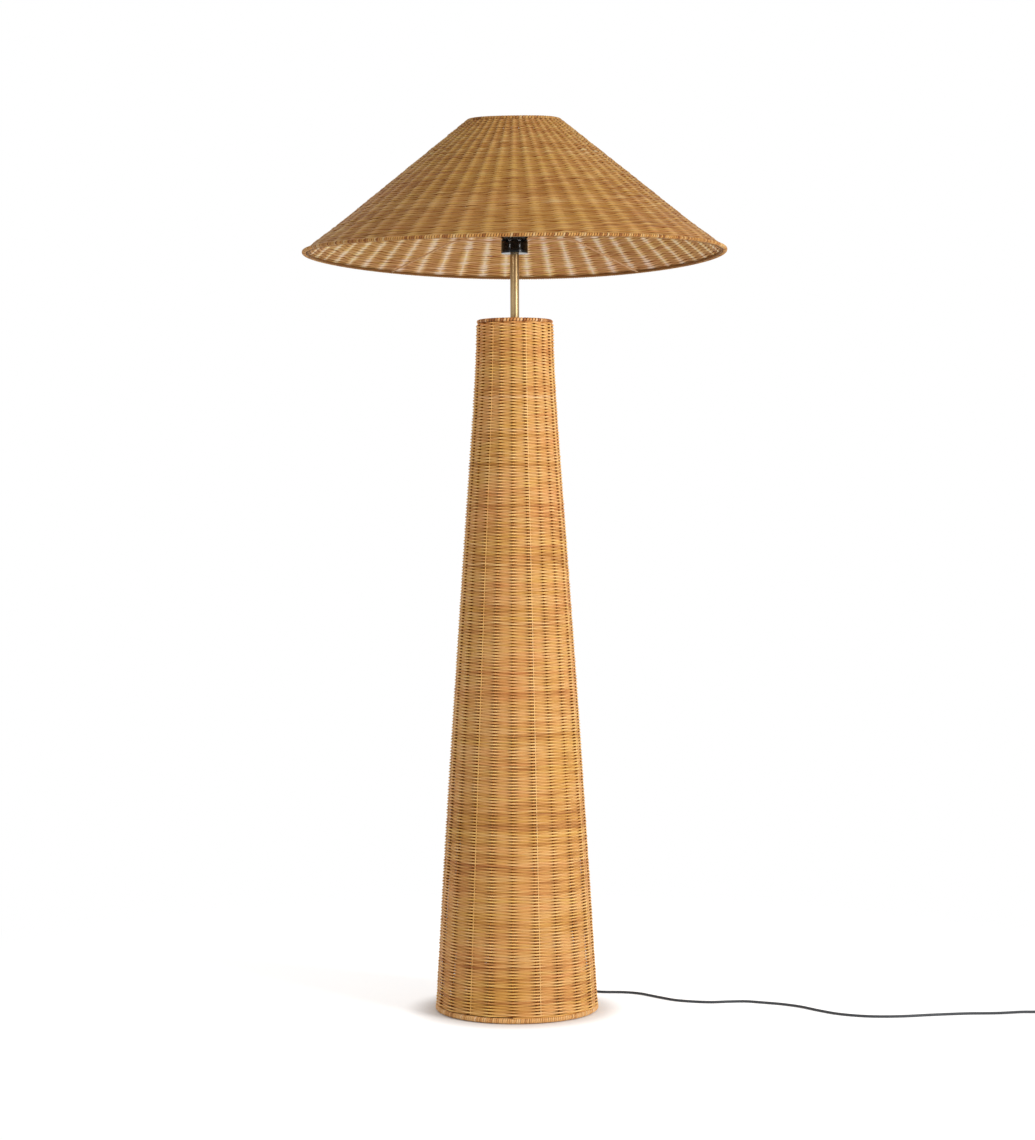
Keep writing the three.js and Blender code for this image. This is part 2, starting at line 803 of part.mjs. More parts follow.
// The lead inside the lamp, the grommet it leaves by and the clip that holds it to the weight.
function makeInsideLead() {
  const wallOutside = towerRadius(leadExitHeight) - towerFluteDepth;
  const wallInside = wallOutside - weaveThickness + 2 * towerFluteDepth;
  const boreRadius = leadRadius + gap;
  const neckRadius = grommetNeckDiameter / 2;
  const flangeRadius = grommetFlangeDiameter / 2;
  const halfFlute = (Math.PI * wallInside) / towerStakes;
  const seat = grommetSeat + (towerFluteDepth * flangeRadius) / halfFlute;
  const innerFlange = wallInside - wallOutside - seat;
  const grommetOutline = [
    [boreRadius, innerFlange - grommetFlangeThickness],
    [flangeRadius, innerFlange - grommetFlangeThickness],
    [flangeRadius, innerFlange],
    [neckRadius, innerFlange],
    [neckRadius, seat],
    [flangeRadius, seat],
    [flangeRadius, seat + grommetFlangeThickness],
    [neckRadius, seat + grommetFlangeThickness],
    [grommetTipDiameter / 2, grommetLength],
    [boreRadius, grommetLength],
  ];
  const grommet = turned(closed(grommetOutline), smallSides);
  piece('lead_grommet', pointOutwards(grommet, wallOutside, exitAngle, leadExitHeight), blackRubber);

  const flatHeight = weightTop + gap + leadRadius + gap;
  const leadTop = holderBottom + holderFloor;
  const threadBottom = topPlateBottom - threadBelowPlate;
  const points = [
    polar(wallOutside + grommetLength, exitAngle, leadExitHeight),
    polar(wallOutside + grommetLength / 2, exitAngle, leadExitHeight),
    polar(wallOutside, exitAngle, leadExitHeight),
    polar(wallInside - grommetFlangeDiameter / 2, exitAngle, leadExitHeight),
    polar(weightRadius + leadDiameter, exitAngle, flatHeight),
    polar(leadClipRadius + 2 * leadClipWidth, exitAngle, flatHeight),
    polar(leadClipRadius + leadClipWidth, exitAngle, flatHeight),
    polar(leadClipRadius, exitAngle, flatHeight),
    polar(leadClipRadius - leadClipWidth, exitAngle, flatHeight),
    ...riseShares.map(([inShare, upShare]) => {
      return polar(inShare * leadRise, exitAngle, flatHeight + upShare * leadRise);
    }),
    ...climbShares.map(([inShare, upShare]) => {
      return polar(inShare * leadRise, exitAngle, flatHeight + upShare * (threadBottom - flatHeight));
    }),
    new THREE.Vector3(0, 0, threadBottom - 2 * leadRise),
    new THREE.Vector3(0, 0, threadBottom),
    new THREE.Vector3(0, 0, (threadBottom + leadTop) / 2),
    new THREE.Vector3(0, 0, leadTop),
  ];
  const line = new THREE.CatmullRomCurve3(points).getPoints(insideLeadSteps);
  piece('lead_inside', tubeThrough(line, leadRadius, leadSides), leadBlack);

  const inner = leadRadius + gap;
  const outer = inner + leadClipWall;
  const crown = inner + gap;
  const clip = new THREE.Shape();
  clip.moveTo(-outer - leadClipFoot, 0);
  clip.lineTo(-inner, 0);
  clip.lineTo(-inner, crown);
  clip.absarc(0, crown, inner, Math.PI, 0, true);
  clip.lineTo(inner, 0);
  clip.lineTo(outer, 0);
  clip.lineTo(outer, crown);
  clip.absarc(0, crown, outer, 0, Math.PI, false);
  clip.lineTo(-outer, leadClipWall);
  clip.lineTo(-outer - leadClipFoot, leadClipWall);
  const strap = new THREE.ExtrudeGeometry(clip, {
    depth: leadClipWidth,
    bevelEnabled: false,
    curveSegments: smallSides / 2,
  });
  strap.rotateX(Math.PI / 2);
  strap.rotateZ(THREE.MathUtils.degToRad(exitAngle + 90));
  const place = polar(leadClipRadius - leadClipWidth / 2, exitAngle, weightTop + gap);
  strap.translate(place.x, place.y, place.z);
  piece('lead_clip', strap, blackPlastic);
}

// The lead on the floor, from the grommet's tip to the foot switch.
function makeFloorLead() {
  const tip = towerRadius(leadExitHeight) - towerFluteDepth + grommetLength + gap;
  const switchFace = switchStart - switchSleeveLength - gap;
  const points = [
    polar(tip, exitAngle, leadExitHeight),
    ...fallRoute.map(([x, y, z]) => new THREE.Vector3(x, y, z)),
    ...floorRoute.map(([x, y]) => new THREE.Vector3(x, y, leadOnFloor)),
    new THREE.Vector3(switchFace - 2 * switchSleeveLength, switchLine, sleeveHeight),
    new THREE.Vector3(switchFace - switchSleeveLength, switchLine, sleeveHeight),
    new THREE.Vector3(switchFace, switchLine, sleeveHeight),
  ];
  piece('lead_on_floor', alongLine(points, leadRadius, leadSides, outsideLeadSteps), leadBlack);
}

// A tapered sleeve where the lead enters a housing: made along +Z, then laid along X.
function makeSleeve(name, length, rootDiameter, x, y, z, towards) {
  const sleeve = turned(
    [[0, 0], [rootDiameter / 2, 0], [leadRadius + gap, length], [0, length]],
    smallSides,
  );
  sleeve.rotateY((towards * Math.PI) / 2);
  piece(name, sleeve.translate(x, y, z), blackRubber);
}

// Foot switch: two halves, a round sprung button and its spring.
function makeSwitch() {
  const middle = switchStart + switchLength / 2;
  const baseTop = switchLift + switchBaseHeight;
  const coverBottom = baseTop + gap;
  const coverTop = coverBottom + switchCoverHeight;
  const buttonRadius = buttonDiameter / 2;
  const flangeRadius = buttonRadius + buttonFlange;
  const wellRadius = flangeRadius + buttonClearance;
  const flangeTop = coverTop - switchFloor - gap;
  const flangeBottom = flangeTop - buttonFlangeHeight;
  const wellBottom = switchLift + switchFloor;
  const outline = () => roundedRectangle(switchLength, switchWidth, switchCorner);
  const well = disc(wellRadius, wellBottom, baseTop + overrun, turnedSides);
  const base = cut(extruded(outline(), switchLift, switchBaseHeight), well);
  piece('switch_base', base.translate(middle, switchLine, 0), blackPlastic);
  const mouth = disc(buttonRadius + buttonClearance, coverBottom, coverTop + overrun, turnedSides);
  const pocket = disc(wellRadius, coverBottom - overrun, coverTop - switchFloor, turnedSides);
  const cover = cut(extruded(outline(), coverBottom, switchCoverHeight), mouth, pocket);
  piece('switch_cover', cover.translate(middle, switchLine, 0), blackPlastic);
  const buttonOutline = [
    [0, flangeBottom],
    [flangeRadius, flangeBottom],
    [flangeRadius, flangeTop],
    [buttonRadius, flangeTop],
    [buttonRadius, coverTop + buttonProud - switchFloor / 2],
    [buttonRadius - switchFloor / 2, coverTop + buttonProud],
    [0, coverTop + buttonProud],
  ];
  const button = turned(buttonOutline, turnedSides);
  piece('switch_button', button.translate(middle, switchLine, 0), glossBlack);
  const spring = ring(
    springDiameter / 2 - springWire,
    springDiameter / 2,
    wellBottom + gap,
    flangeBottom - gap,
    smallSides,
  );
  piece('switch_spring', spring.translate(middle, switchLine, 0), zincSteel);
  makeSleeve(
    'switch_sleeve_in',
    switchSleeveLength - gap,
    switchSleeveDiameter,
    switchStart - gap,
    switchLine,
    sleeveHeight,
    -1,
  );
  makeSleeve(
    'switch_sleeve_out',
    switchSleeveLength - gap,
    switchSleeveDiameter,
    switchStart + switchLength + gap,
    switchLine,
    sleeveHeight,
    1,
  );
}

// Middle line of the coil: it spirals in along the floor, climbs a layer where it turns back,
// and spirals out again on top.
function coilPoint(turn) {
  const half = coilTurns / 2;
  const radius = coilOuterRadius - coilPitch * (half - Math.abs(half - turn));
  const climb = THREE.MathUtils.clamp((turn - half) / coilClimbTurns + 1 / 2, 0, 1);
  const height = leadOnFloor + coilPitch * climb;
  const angle = 2 * Math.PI * turn - Math.PI / 2;
  return new THREE.Vector3(radius * Math.cos(angle), radius * Math.sin(angle), height);
}

// The least distance between a line's points that lie more than half a turn apart along it.
function leastGap(points, apart, diameter) {
  let least = Infinity;
  points.forEach((point, i) => {
    for (let k = i + apart; k < points.length; k += 1) {
      least = Math.min(least, point.distanceTo(points[k]));
    }
  });
  return least - diameter;
}

// The coil with its straight ends, and the plug beside it.
function makeCoilAndPlug() {
  const start = switchStart + switchLength + switchSleeveLength + gap;
  const middle = new THREE.Vector3(start + coilLeadIn, switchLine + coilOuterRadius, 0);
  const steps = Math.round(coilTurns * coilLoopSteps);
  const loops = Array.from({ length: steps + 1 }, (_, i) => {
    return coilPoint((coilTurns * i) / steps).add(middle);
  });
  const first = loops[0];
  const last = loops[loops.length - 1];
  const straight = new THREE.Vector3(leadDiameter, 0, 0);
  const points = [
    new THREE.Vector3(start, switchLine, sleeveHeight),
    new THREE.Vector3(start + leadDiameter, switchLine, sleeveHeight),
    new THREE.Vector3(start + coilLeadIn / 2, switchLine, (sleeveHeight + first.z) / 2),
    first.clone().sub(straight),
    ...loops,
    last.clone().sub(straight),
    last.clone().sub(new THREE.Vector3(plugLeadOut, 0, 0)),
  ];
  const freeGap = leastGap(points, coilLoopSteps / 2, leadDiameter);
  console.log(`least gap of the coil to itself: ${freeGap.toFixed(2)} mm`);
  if (freeGap < coilGapAllowed) console.log('the coil touches itself');
  piece('lead_coil', tubeThrough(points, leadRadius, coilSides), leadBlack);

  const end = points[points.length - 1];
  const sleeveStart = end.x - gap;
  const bodyStart = sleeveStart - plugSleeveLength - gap;
  makeSleeve(
    'plug_sleeve',
    plugSleeveLength,
    plugSleeveDiameter,
    sleeveStart - plugSleeveLength,
    end.y,
    end.z,
    1,
  );
  const tail = plugTailWidth / 2;
  const nose = plugWidth / 2;
  const waist = plugLength / 2;
  const body = new THREE.Shape([
    new THREE.Vector2(0, -tail),
    new THREE.Vector2(0, tail),
    new THREE.Vector2(-waist, nose - plugCorner / 2),
    new THREE.Vector2(plugCorner - plugLength, nose),
    new THREE.Vector2(-plugLength, nose - plugCorner),
    new THREE.Vector2(-plugLength, plugCorner - nose),
    new THREE.Vector2(plugCorner - plugLength, -nose),
    new THREE.Vector2(-waist, plugCorner / 2 - nose),
  ]);
  const plug = extruded(body, end.z - plugThickness / 2, plugThickness);
  piece('plug_body', plug.translate(bodyStart, end.y, 0), blackPlastic);
  [-1, 1].forEach((side, i) => {
    const pin = disc(pinDiameter / 2, 0, pinLength, smallSides);
    pin.rotateY(-Math.PI / 2);
    const x = bodyStart - plugLength - gap;
    piece(`plug_pin_${i + 1}`, pin.translate(x, end.y + (side * pinSpacing) / 2, end.z), brass);
  });
}

makeFoot(makeTower());
makeStem();
makeLampholder();
makeSpider(makeShade());
makeInsideLead();
makeFloorLead();
makeSwitch();
makeCoilAndPlug();

export default lamp;
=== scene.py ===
import math

import bpy
import numpy as np
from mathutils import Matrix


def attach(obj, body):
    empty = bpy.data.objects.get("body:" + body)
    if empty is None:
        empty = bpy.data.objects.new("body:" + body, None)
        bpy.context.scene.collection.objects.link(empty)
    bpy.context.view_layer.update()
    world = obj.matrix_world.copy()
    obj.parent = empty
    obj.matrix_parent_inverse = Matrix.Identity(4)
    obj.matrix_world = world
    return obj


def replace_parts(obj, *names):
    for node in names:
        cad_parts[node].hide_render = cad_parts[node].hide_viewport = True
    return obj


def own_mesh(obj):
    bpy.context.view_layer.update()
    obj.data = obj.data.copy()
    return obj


# A woven rattan floor lamp. Metres, +Z up, the viewer looks along +Y.

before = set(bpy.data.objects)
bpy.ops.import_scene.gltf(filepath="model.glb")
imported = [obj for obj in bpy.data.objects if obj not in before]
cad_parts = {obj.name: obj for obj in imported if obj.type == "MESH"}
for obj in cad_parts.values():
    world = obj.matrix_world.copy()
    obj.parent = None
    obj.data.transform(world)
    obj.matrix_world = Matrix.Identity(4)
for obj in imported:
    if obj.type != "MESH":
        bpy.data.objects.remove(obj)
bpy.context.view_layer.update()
rng = np.random.default_rng(11)
MM = 0.001
TURN = 2 * math.pi
UP = np.array([0.0, 0.0, 1.0])


def placed(name, data):
    """A new object of the scene."""
    item = bpy.data.objects.new(name, data)
    bpy.context.scene.collection.objects.link(item)
    return item


# Camera

IMAGE_HEIGHT = 1140
FOCAL_PIXELS = 2526
SENSOR = 36.0
camera_data = bpy.data.cameras.new("camera")
camera_data.sensor_width = SENSOR
camera_data.lens = SENSOR * FOCAL_PIXELS / IMAGE_HEIGHT
camera = placed("camera", camera_data)
camera.location = (0.0035, -4.2594, 0.844)
camera.rotation_mode = "XYZ"
camera.rotation_euler = (math.radians(90 - 1.364), math.radians(0.19), 0.0)
bpy.context.scene.camera = camera


# Node helpers


def linear(red, green, blue):
    """A colour as it is seen on a screen, 0 to 255, turned into what the shader takes."""
    def one(value):
        share = value / 255
        return share / 12.92 if share <= 0.04045 else ((share + 0.055) / 1.055) ** 2.4

    return (one(red), one(green), one(blue), 1.0)


class Nodes:
    """A node tree with short calls to add and join nodes."""

    def __init__(self, tree):
        self.tree = tree

    def add(self, kind, inputs=None, **settings):
        node = self.tree.nodes.new(kind)
        for key, value in settings.items():
            setattr(node, key, value)
        for key, value in (inputs or {}).items():
            if isinstance(value, bpy.types.NodeSocket):
                self.tree.links.new(value, node.inputs[key])
            else:
                node.inputs[key].default_value = value
        return node

    def math(self, operation, first, second=0.0, clamp=False):
        node = self.add("ShaderNodeMath", {0: first, 1: second}, operation=operation, use_clamp=clamp)
        return node.outputs[0]

    def mix(self, factor, first, second, blend="MIX"):
        inputs = {0: factor, 6: first, 7: second}
        return self.add("ShaderNodeMix", inputs, data_type="RGBA", blend_type=blend).outputs[2]

    def attribute(self, name, output="Fac"):
        return self.add("ShaderNodeAttribute", attribute_name=name).outputs[output]

    def spread(self, value, low, high, start=0.0, end=1.0, **settings):
        """value from start to end turned into low to high."""
        inputs = {"Value": value, "From Min": start, "From Max": end, "To Min": low, "To Max": high}
        return self.add("ShaderNodeMapRange", inputs, **settings).outputs[0]

    def output(self, shader, kind="Material"):
        self.tree.links.new(shader, self.add(f"ShaderNodeOutput{kind}").inputs[0])

    def ramp(self, factor, stops):
        node = self.add("ShaderNodeValToRGB", {0: factor})
        ramp = node.color_ramp
        while len(ramp.elements) < len(stops):
            ramp.elements.new(1.0)
        for element, (place, colour) in zip(ramp.elements, stops):
            element.position = place
            element.color = colour
        return node.outputs[0]

    def noise(self, vector, scale, detail=3.0, roughness=0.55):
        inputs = {"Vector": vector, "Scale": scale, "Detail": detail, "Roughness": roughness}
        return self.add("ShaderNodeTexNoise", inputs).outputs[0]

    def scaled(self, vector, scale):
        return self.add("ShaderNodeMapping", {"Vector": vector, "Scale": scale}).outputs[0]

    def bump(self, height, strength, distance):
        inputs = {"Height": height, "Strength": strength, "Distance": distance}
        return self.add("ShaderNodeBump", inputs).outputs[0]


def new_material(name):
    material = bpy.data.materials.new(name)
    material.use_nodes = True
    material.node_tree.nodes.clear()
    return material, Nodes(material.node_tree)


# Materials

# Colours of cane from its darkest tone to its palest, and tints from greenish to reddish
CANE_STOPS = [
    (0.0, linear(164, 108, 56)),
    (0.3, linear(212, 158, 92)),
    (0.55, linear(236, 188, 116)),
    (0.8, linear(244, 205, 140)),
    (1.0, linear(250, 226, 184)),
]
HUE_STOPS = [
    (0.0, (0.97, 0.90, 0.66, 1.0)),
    (0.35, (1.0, 0.92, 0.87, 1.0)),
    (0.75, (1.0, 0.83, 0.80, 1.0)),
    (1.0, (1.0, 0.77, 0.76, 1.0)),
]
# the brown that the painted shade between strands and in hollows darkens the cane towards
PAINTED_SHADE_TINT = linear(150, 92, 52)
DIP = (34 * MM, (9, 9, 10))  # the spider's wires are black as far out as this
DRAWN = (1, 1, 0.04)  # grain drawn out along the brass tube
STREAKS_ALONG = (60.0, 2.6, 2.6)
MARKS_ALONG = (220.0, 0.6, 0.6)


def cane(name, tint, roughness=0.5, inner=None, specular=0.38):
    """Split and round cane: each strand's own tone, streaks along it and a darker depth between strands.

    tint is a factor for each of red, green and blue, and inner the factors of faces that look into a hollow,
    painted paler for the light that bounces in there. The darker depth between strands is painted shade.
    """
    material, n = new_material(name)
    depth = n.attribute("depth")
    along = n.attribute("along", "Vector")
    streak = n.noise(n.scaled(along, STREAKS_ALONG), 1.0, 4.0, 0.6)
    marks = n.noise(n.scaled(along, MARKS_ALONG), 1.0, 2.0, 0.5)
    tone = n.math("ADD", n.attribute("tone"), n.math("MULTIPLY", n.math("SUBTRACT", streak, 0.5), 0.34))
    tone = n.math("ADD", tone, n.math("MULTIPLY", n.math("SUBTRACT", marks, 0.5), 0.16), clamp=True)
    hue = n.ramp(n.attribute("warm"), HUE_STOPS)
    colour = n.mix(1.0, n.ramp(tone, CANE_STOPS), hue, "MULTIPLY")
    # painted shade: the depth attribute darkens the colour towards the brown shade tint, between strands and
    # in hollows
    colour = n.mix(depth, colour, n.mix(1.0, colour, PAINTED_SHADE_TINT, "MULTIPLY"))
    shade = (*tint, 1.0)
    if inner is not None:
        # painted light: faces into the hollow get the inner tint, paler than the outer faces, for the light
        # that bounces in
        shade = n.mix(n.attribute("inside"), shade, (*inner, 1.0))
    open_face = n.math("SUBTRACT", 1.0, depth)
    inputs = {
        "Base Color": n.mix(1.0, colour, shade, "MULTIPLY"),
        "Roughness": n.spread(streak, roughness - 0.1, roughness + 0.16),
        "Specular IOR Level": n.math("MULTIPLY", n.math("MULTIPLY", open_face, open_face), specular),
        "Normal": n.bump(streak, 0.25, 0.4 * MM),
    }
    n.output(n.add("ShaderNodeBsdfPrincipled", inputs).outputs[0])
    return material


def finish_of(name, base, other, roughness, scale, bump, metallic=0.0, specular=0.5, spread=0.08, **extra):
    """A plain finish with fine variation of its colour, roughness and surface.

    extra may hold stretch, a factor of the grain along each axis, and dip: the radius round the lamp's axis
    inside which the piece is dipped, and that coat's colour.
    """
    material, n = new_material(name)
    place = n.add("ShaderNodeTexCoord").outputs["Object"]
    grain = n.noise(n.scaled(place, extra.get("stretch", (1, 1, 1))), scale, 5.0, 0.6)
    cloud = n.noise(place, scale / 6, 3.0, 0.5)
    colour = n.mix(n.math("MULTIPLY", n.math("ADD", grain, cloud), 0.5), linear(*base), linear(*other))
    if "dip" in extra:
        dip_radius, coat = extra["dip"]
        axes = n.add("ShaderNodeSeparateXYZ", {"Vector": place}).outputs
        square = n.math("ADD", n.math("MULTIPLY", axes[0], axes[0]), n.math("MULTIPLY", axes[1], axes[1]))
        colour = n.mix(n.math("LESS_THAN", square, dip_radius**2), colour, linear(*coat))
    inputs = {
        "Base Color": colour,
        "Roughness": n.spread(grain, roughness - spread, roughness + spread, 0.3, 0.7),
        "Metallic": metallic,
        "Specular IOR Level": specular,
        "Normal": n.bump(grain, bump, 0.2 * MM),
    }
    n.output(n.add("ShaderNodeBsdfPrincipled", inputs).outputs[0])
    return material


# Each finish: two colours, roughness, scale of the grain, strength of its bump and what else it has
FINISHES = {
    "satin_brass": ((176, 154, 116), (144, 120, 84), 0.36, 900.0, 0.015, {"metallic": 1.0, "stretch": DRAWN}),
    "gloss_black": ((7, 7, 9), (4, 4, 5), 0.14, 300.0, 0.015, {"specular": 0.22, "spread": 0.03}),
    "black_plastic": ((28, 28, 30), (19, 19, 21), 0.42, 1400.0, 0.2, {"specular": 0.45}),
    "black_rubber": ((34, 34, 35), (22, 22, 23), 0.68, 900.0, 0.25, {"specular": 0.35}),
    "lead_black": ((64, 66, 70), (46, 48, 51), 0.5, 700.0, 0.12, {"specular": 0.4}),
    "black_steel": ((44, 44, 46), (28, 28, 30), 0.48, 800.0, 0.25, {"metallic": 0.3}),
    "zinc_steel": ((202, 204, 206), (160, 163, 168), 0.34, 220.0, 0.08, {"metallic": 0.95}),
    "cast_iron": ((72, 72, 74), (44, 44, 47), 0.62, 420.0, 0.7, {"metallic": 0.35}),
    "cane_wire": ((150, 108, 62), (122, 84, 46), 0.7, 500.0, 0.2, {"specular": 0.12}),
    "cream_wire": ((222, 178, 132), (196, 150, 104), 0.5, 500.0, 0.06, {"specular": 0.2, "dip": DIP}),
}
looks = {
    "tower_cane": cane("tower_cane", (1.06, 1.09, 1.06)),
    # painted light: the same cane is tinted far paler on faces into the hollow than outside, for bounce light
    "shade_cane": cane("shade_cane", (0.657, 0.645, 0.55), inner=(1.04, 1.18, 1.5), specular=0.24),
    "rim_cane": cane("rim_cane", (0.7, 0.63, 0.5), specular=0.3),
    "binding_cane": cane("binding_cane", (0.92, 0.92, 0.94)),
    # painted shade: the stakes are tinted dark and red, so the holes where they show through the weave read
    # as shade
    "stake_cane": cane("stake_cane", (0.6, 0.42, 0.27), roughness=0.7, specular=0.1),
}
for name, (*values, further) in FINISHES.items():
    looks[name] = finish_of(name, *values, **further)


# Mesh helpers


def made(name, points, faces, look, body, attributes=None, bake_map=None):
    """A mesh piece from arrays, with its material and the body that it rides on."""
    mesh = bpy.data.meshes.new(name)
    faces = [np.asarray(part) for part in faces]
    sizes = np.concatenate([np.full(len(part), part.shape[1]) for part in faces])
    corners = np.concatenate([part.ravel() for part in faces])
    mesh.vertices.add(len(points))
    mesh.vertices.foreach_set("co", np.asarray(points, np.float32).ravel())
    mesh.loops.add(len(corners))
    mesh.loops.foreach_set("vertex_index", corners.astype(np.int32))
    mesh.polygons.add(len(sizes))
    mesh.polygons.foreach_set("loop_start", np.concatenate([[0], np.cumsum(sizes)[:-1]]).astype(np.int32))
    mesh.polygons.foreach_set("loop_total", sizes.astype(np.int32))
    mesh.polygons.foreach_set("use_smooth", np.ones(len(sizes), bool))
    mesh.update(calc_edges=True)
    for key, values in (attributes or {}).items():
        kind = "FLOAT" if values.ndim == 1 else "FLOAT_VECTOR"
        layer = mesh.attributes.new(key, kind, "POINT")
        layer.data.foreach_set("value" if values.ndim == 1 else "vector", values.astype(np.float32).ravel())
    if bake_map is not None:
        layer = mesh.uv_layers.new(name="OFBake")
        layer.uv.foreach_set("vector", bake_map.astype(np.float32).ravel())
    mesh.materials.append(looks[look])
    piece = placed(name, mesh)
    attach(piece, body)
    return piece


def spoke(angle):
    return np.array([math.cos(angle), math.sin(angle), 0.0])


def outward(angle):
    return np.stack([np.cos(angle), np.sin(angle), np.zeros_like(angle)], 1)


def unit(vectors):
    return vectors / np.maximum(np.linalg.norm(vectors, axis=-1, keepdims=True), 1e-12)


def swept(line, facing, section, closed=False, scale=None, narrow=None):
    """Points and faces of a rod along a line. facing is the side of its section that keeps facing out.

    scale is its size at each point, and narrow its width there.
    """
    count, sides = len(line), len(section)
    along = unit(np.roll(line, -1, 0) - np.roll(line, 1, 0) if closed else np.gradient(line, axis=0))
    face = unit(facing - (facing * along).sum(1, keepdims=True) * along)
    over = np.cross(along, face)
    spread = section[None, :, :] * (np.ones(count) if scale is None else scale)[:, None, None]
    if narrow is not None:
        spread = spread * np.stack([np.ones(count), narrow], 1)[:, None, :]
    points = line[:, None, :] + face[:, None, :] * spread[:, :, :1] + over[:, None, :] * spread[:, :, 1:]
    ring = np.arange(sides)
    steps = np.arange(count if closed else count - 1)
    here = steps[:, None] * sides
    there = ((steps + 1) % count)[:, None] * sides
    nearer, further = ring[None, :], ((ring + 1) % sides)[None, :]
    quads = np.stack([here + nearer, here + further, there + further, there + nearer], -1).reshape(-1, 4)
    ends = [] if closed else [ring[None, ::-1], (count - 1) * sides + ring[None, :]]
    return points.reshape(-1, 3), [quads, *ends]


def round_section(radius, sides, flat=1.0):
    """A round section, or one flat times as deep as it is wide."""
    angle = TURN * (np.arange(sides) + 0.5) / sides
    return np.stack([radius * flat * np.cos(angle), radius * np.sin(angle)], 1)


def strap_section(width, thickness):
    """A flat strip with a slightly crowned outer face."""
    section = [(-1, -0.86), (-1, 0.86), (0.1, 1), (0.8, 0.6), (1.1, 0), (0.8, -0.6), (0.1, -1)]
    return np.array(section) * (thickness / 2, width / 2)


def joined(parts):
    """Several point and face sets as one."""
    points, quads, others, start = [], [], [], 0
    for part_points, part_faces in parts:
        points.append(part_points)
        for group in part_faces:
            (quads if group.shape[1] == 4 else others).append(group + start)
        start += len(part_points)
    return np.concatenate(points), [np.concatenate(quads), *others]


def drift(place, size):
    """Smooth noise along one line, about -1 to 1, which changes over size."""
    steps = place / size
    steps = steps - steps.min()
    knots = rng.uniform(-1, 1, int(steps.max()) + 3)
    low = np.floor(steps).astype(int)
    share = steps - low
    share = share * share * (3 - 2 * share)
    return knots[low] * (1 - share) + knots[low + 1] * share


def patches(angle, place, size, terms, source=rng):
    """Smooth noise over a turned surface, about -1 to 1, without a seam round it."""
    total = np.zeros_like(place)
    for _ in range(terms):
        waves = source.integers(0, 7)
        lean = source.uniform(-1, 1) * TURN / size
        total += np.sin(waves * angle + lean * place + source.uniform(0, TURN))
    return total / math.sqrt(terms)


def wire(name, line, diameter, look, body, node, closed=False):
    """A round wire along a line, in place of a CAD node."""
    points, faces = swept(line, np.tile(UP, (len(line), 1)), round_section(diameter / 2, 12), closed)
    piece = made(name, points, faces, look, body)
    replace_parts(piece, node)
    return piece


def lathe(outline, sides=96, push=None):
    """Points and faces of an outline of (radius, height) turned round the Z axis.

    push(radius, height, angle) gives how far a point of it moves out, for a thread or ribs.
    """
    outline = np.asarray(outline, float)
    angle = TURN * np.arange(sides)[:, None] / sides
    radius = np.broadcast_to(outline[None, :, 0], (sides, len(outline)))
    height = np.broadcast_to(outline[None, :, 1], (sides, len(outline)))
    if push is not None:
        radius = radius + push(radius, height, angle)
    points = np.stack([radius * np.cos(angle), radius * np.sin(angle), height], -1)
    rows = len(outline)
    here = np.arange(sides)[:, None] * rows
    there = np.roll(here, -1, 0)
    row = np.arange(rows)[None, :]
    above = np.roll(row, -1, 1)
    quads = np.stack([here + row, there + row, there + above, here + above], -1).reshape(-1, 4)
    return points.reshape(-1, 3), [quads]


def rounded(outline, radius, steps=3):
    """A closed outline with each of its corners rounded."""
    outline = np.asarray(outline, float)
    result = []
    for before, corner, after in zip(np.roll(outline, 1, 0), outline, np.roll(outline, -1, 0)):
        back, ahead = before - corner, after - corner
        reach = min(radius, 0.45 * np.linalg.norm(back), 0.45 * np.linalg.norm(ahead))
        first = corner + back / np.linalg.norm(back) * reach
        last = corner + ahead / np.linalg.norm(ahead) * reach
        for share in np.linspace(0, 1, steps + 1):
            result.append((1 - share) ** 2 * first + 2 * share * (1 - share) * corner + share**2 * last)
    return np.array(result)


def between(t, first, last, low, high):
    """The point at t of the stretch from first, at low, to last, at high."""
    return ((high - t) * first + (t - low) * last) / (high - low)


def smooth_line(points, per_span):
    """A centripetal Catmull-Rom line through points."""
    points = np.asarray(points, float)
    padded = np.concatenate([[2 * points[0] - points[1]], points, [2 * points[-1] - points[-2]]])
    line = []
    for i in range(1, len(padded) - 2):
        four = padded[i - 1 : i + 3]
        knots = np.concatenate([[0], np.cumsum(np.linalg.norm(np.diff(four, axis=0), axis=1) ** 0.5)])
        for t in np.linspace(knots[1], knots[2], per_span, endpoint=False):
            three = [between(t, four[k], four[k + 1], knots[k], knots[k + 1]) for k in range(3)]
            two = [between(t, three[k], three[k + 1], knots[k], knots[k + 2]) for k in range(2)]
            line.append(between(t, *two, knots[1], knots[2]))
    line.append(points[-1])
    return np.array(line)


# Outline of the tower, and the lead: first the stretch on the floor, then the coil

LEAD_DIAMETER = 4.5 * MM
TOWER_HEIGHT = 1160 * MM
TOWER_TOP = 65 * MM
TOWER_FOOT = 137.6 * MM
NECK_REACH = 0.14


def tower_radius(height):
    down = (TOWER_HEIGHT - height) / TOWER_HEIGHT
    return TOWER_TOP + (TOWER_FOOT - TOWER_TOP) * (down - down * np.exp(-down / NECK_REACH))


def lead(name, line):
    data = bpy.data.curves.new(name, "CURVE")
    data.dimensions = "3D"
    data.bevel_depth = LEAD_DIAMETER / 2
    data.bevel_resolution = 4
    data.use_fill_caps = True
    spline = data.splines.new("POLY")
    spline.points.add(len(line) - 1)
    spline.points.foreach_set("co", np.concatenate([line, np.ones((len(line), 1))], 1).ravel())
    spline.use_smooth = True
    data.materials.append(looks["lead_black"])
    piece = placed(name, data)
    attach(piece, "lamp")
    return piece


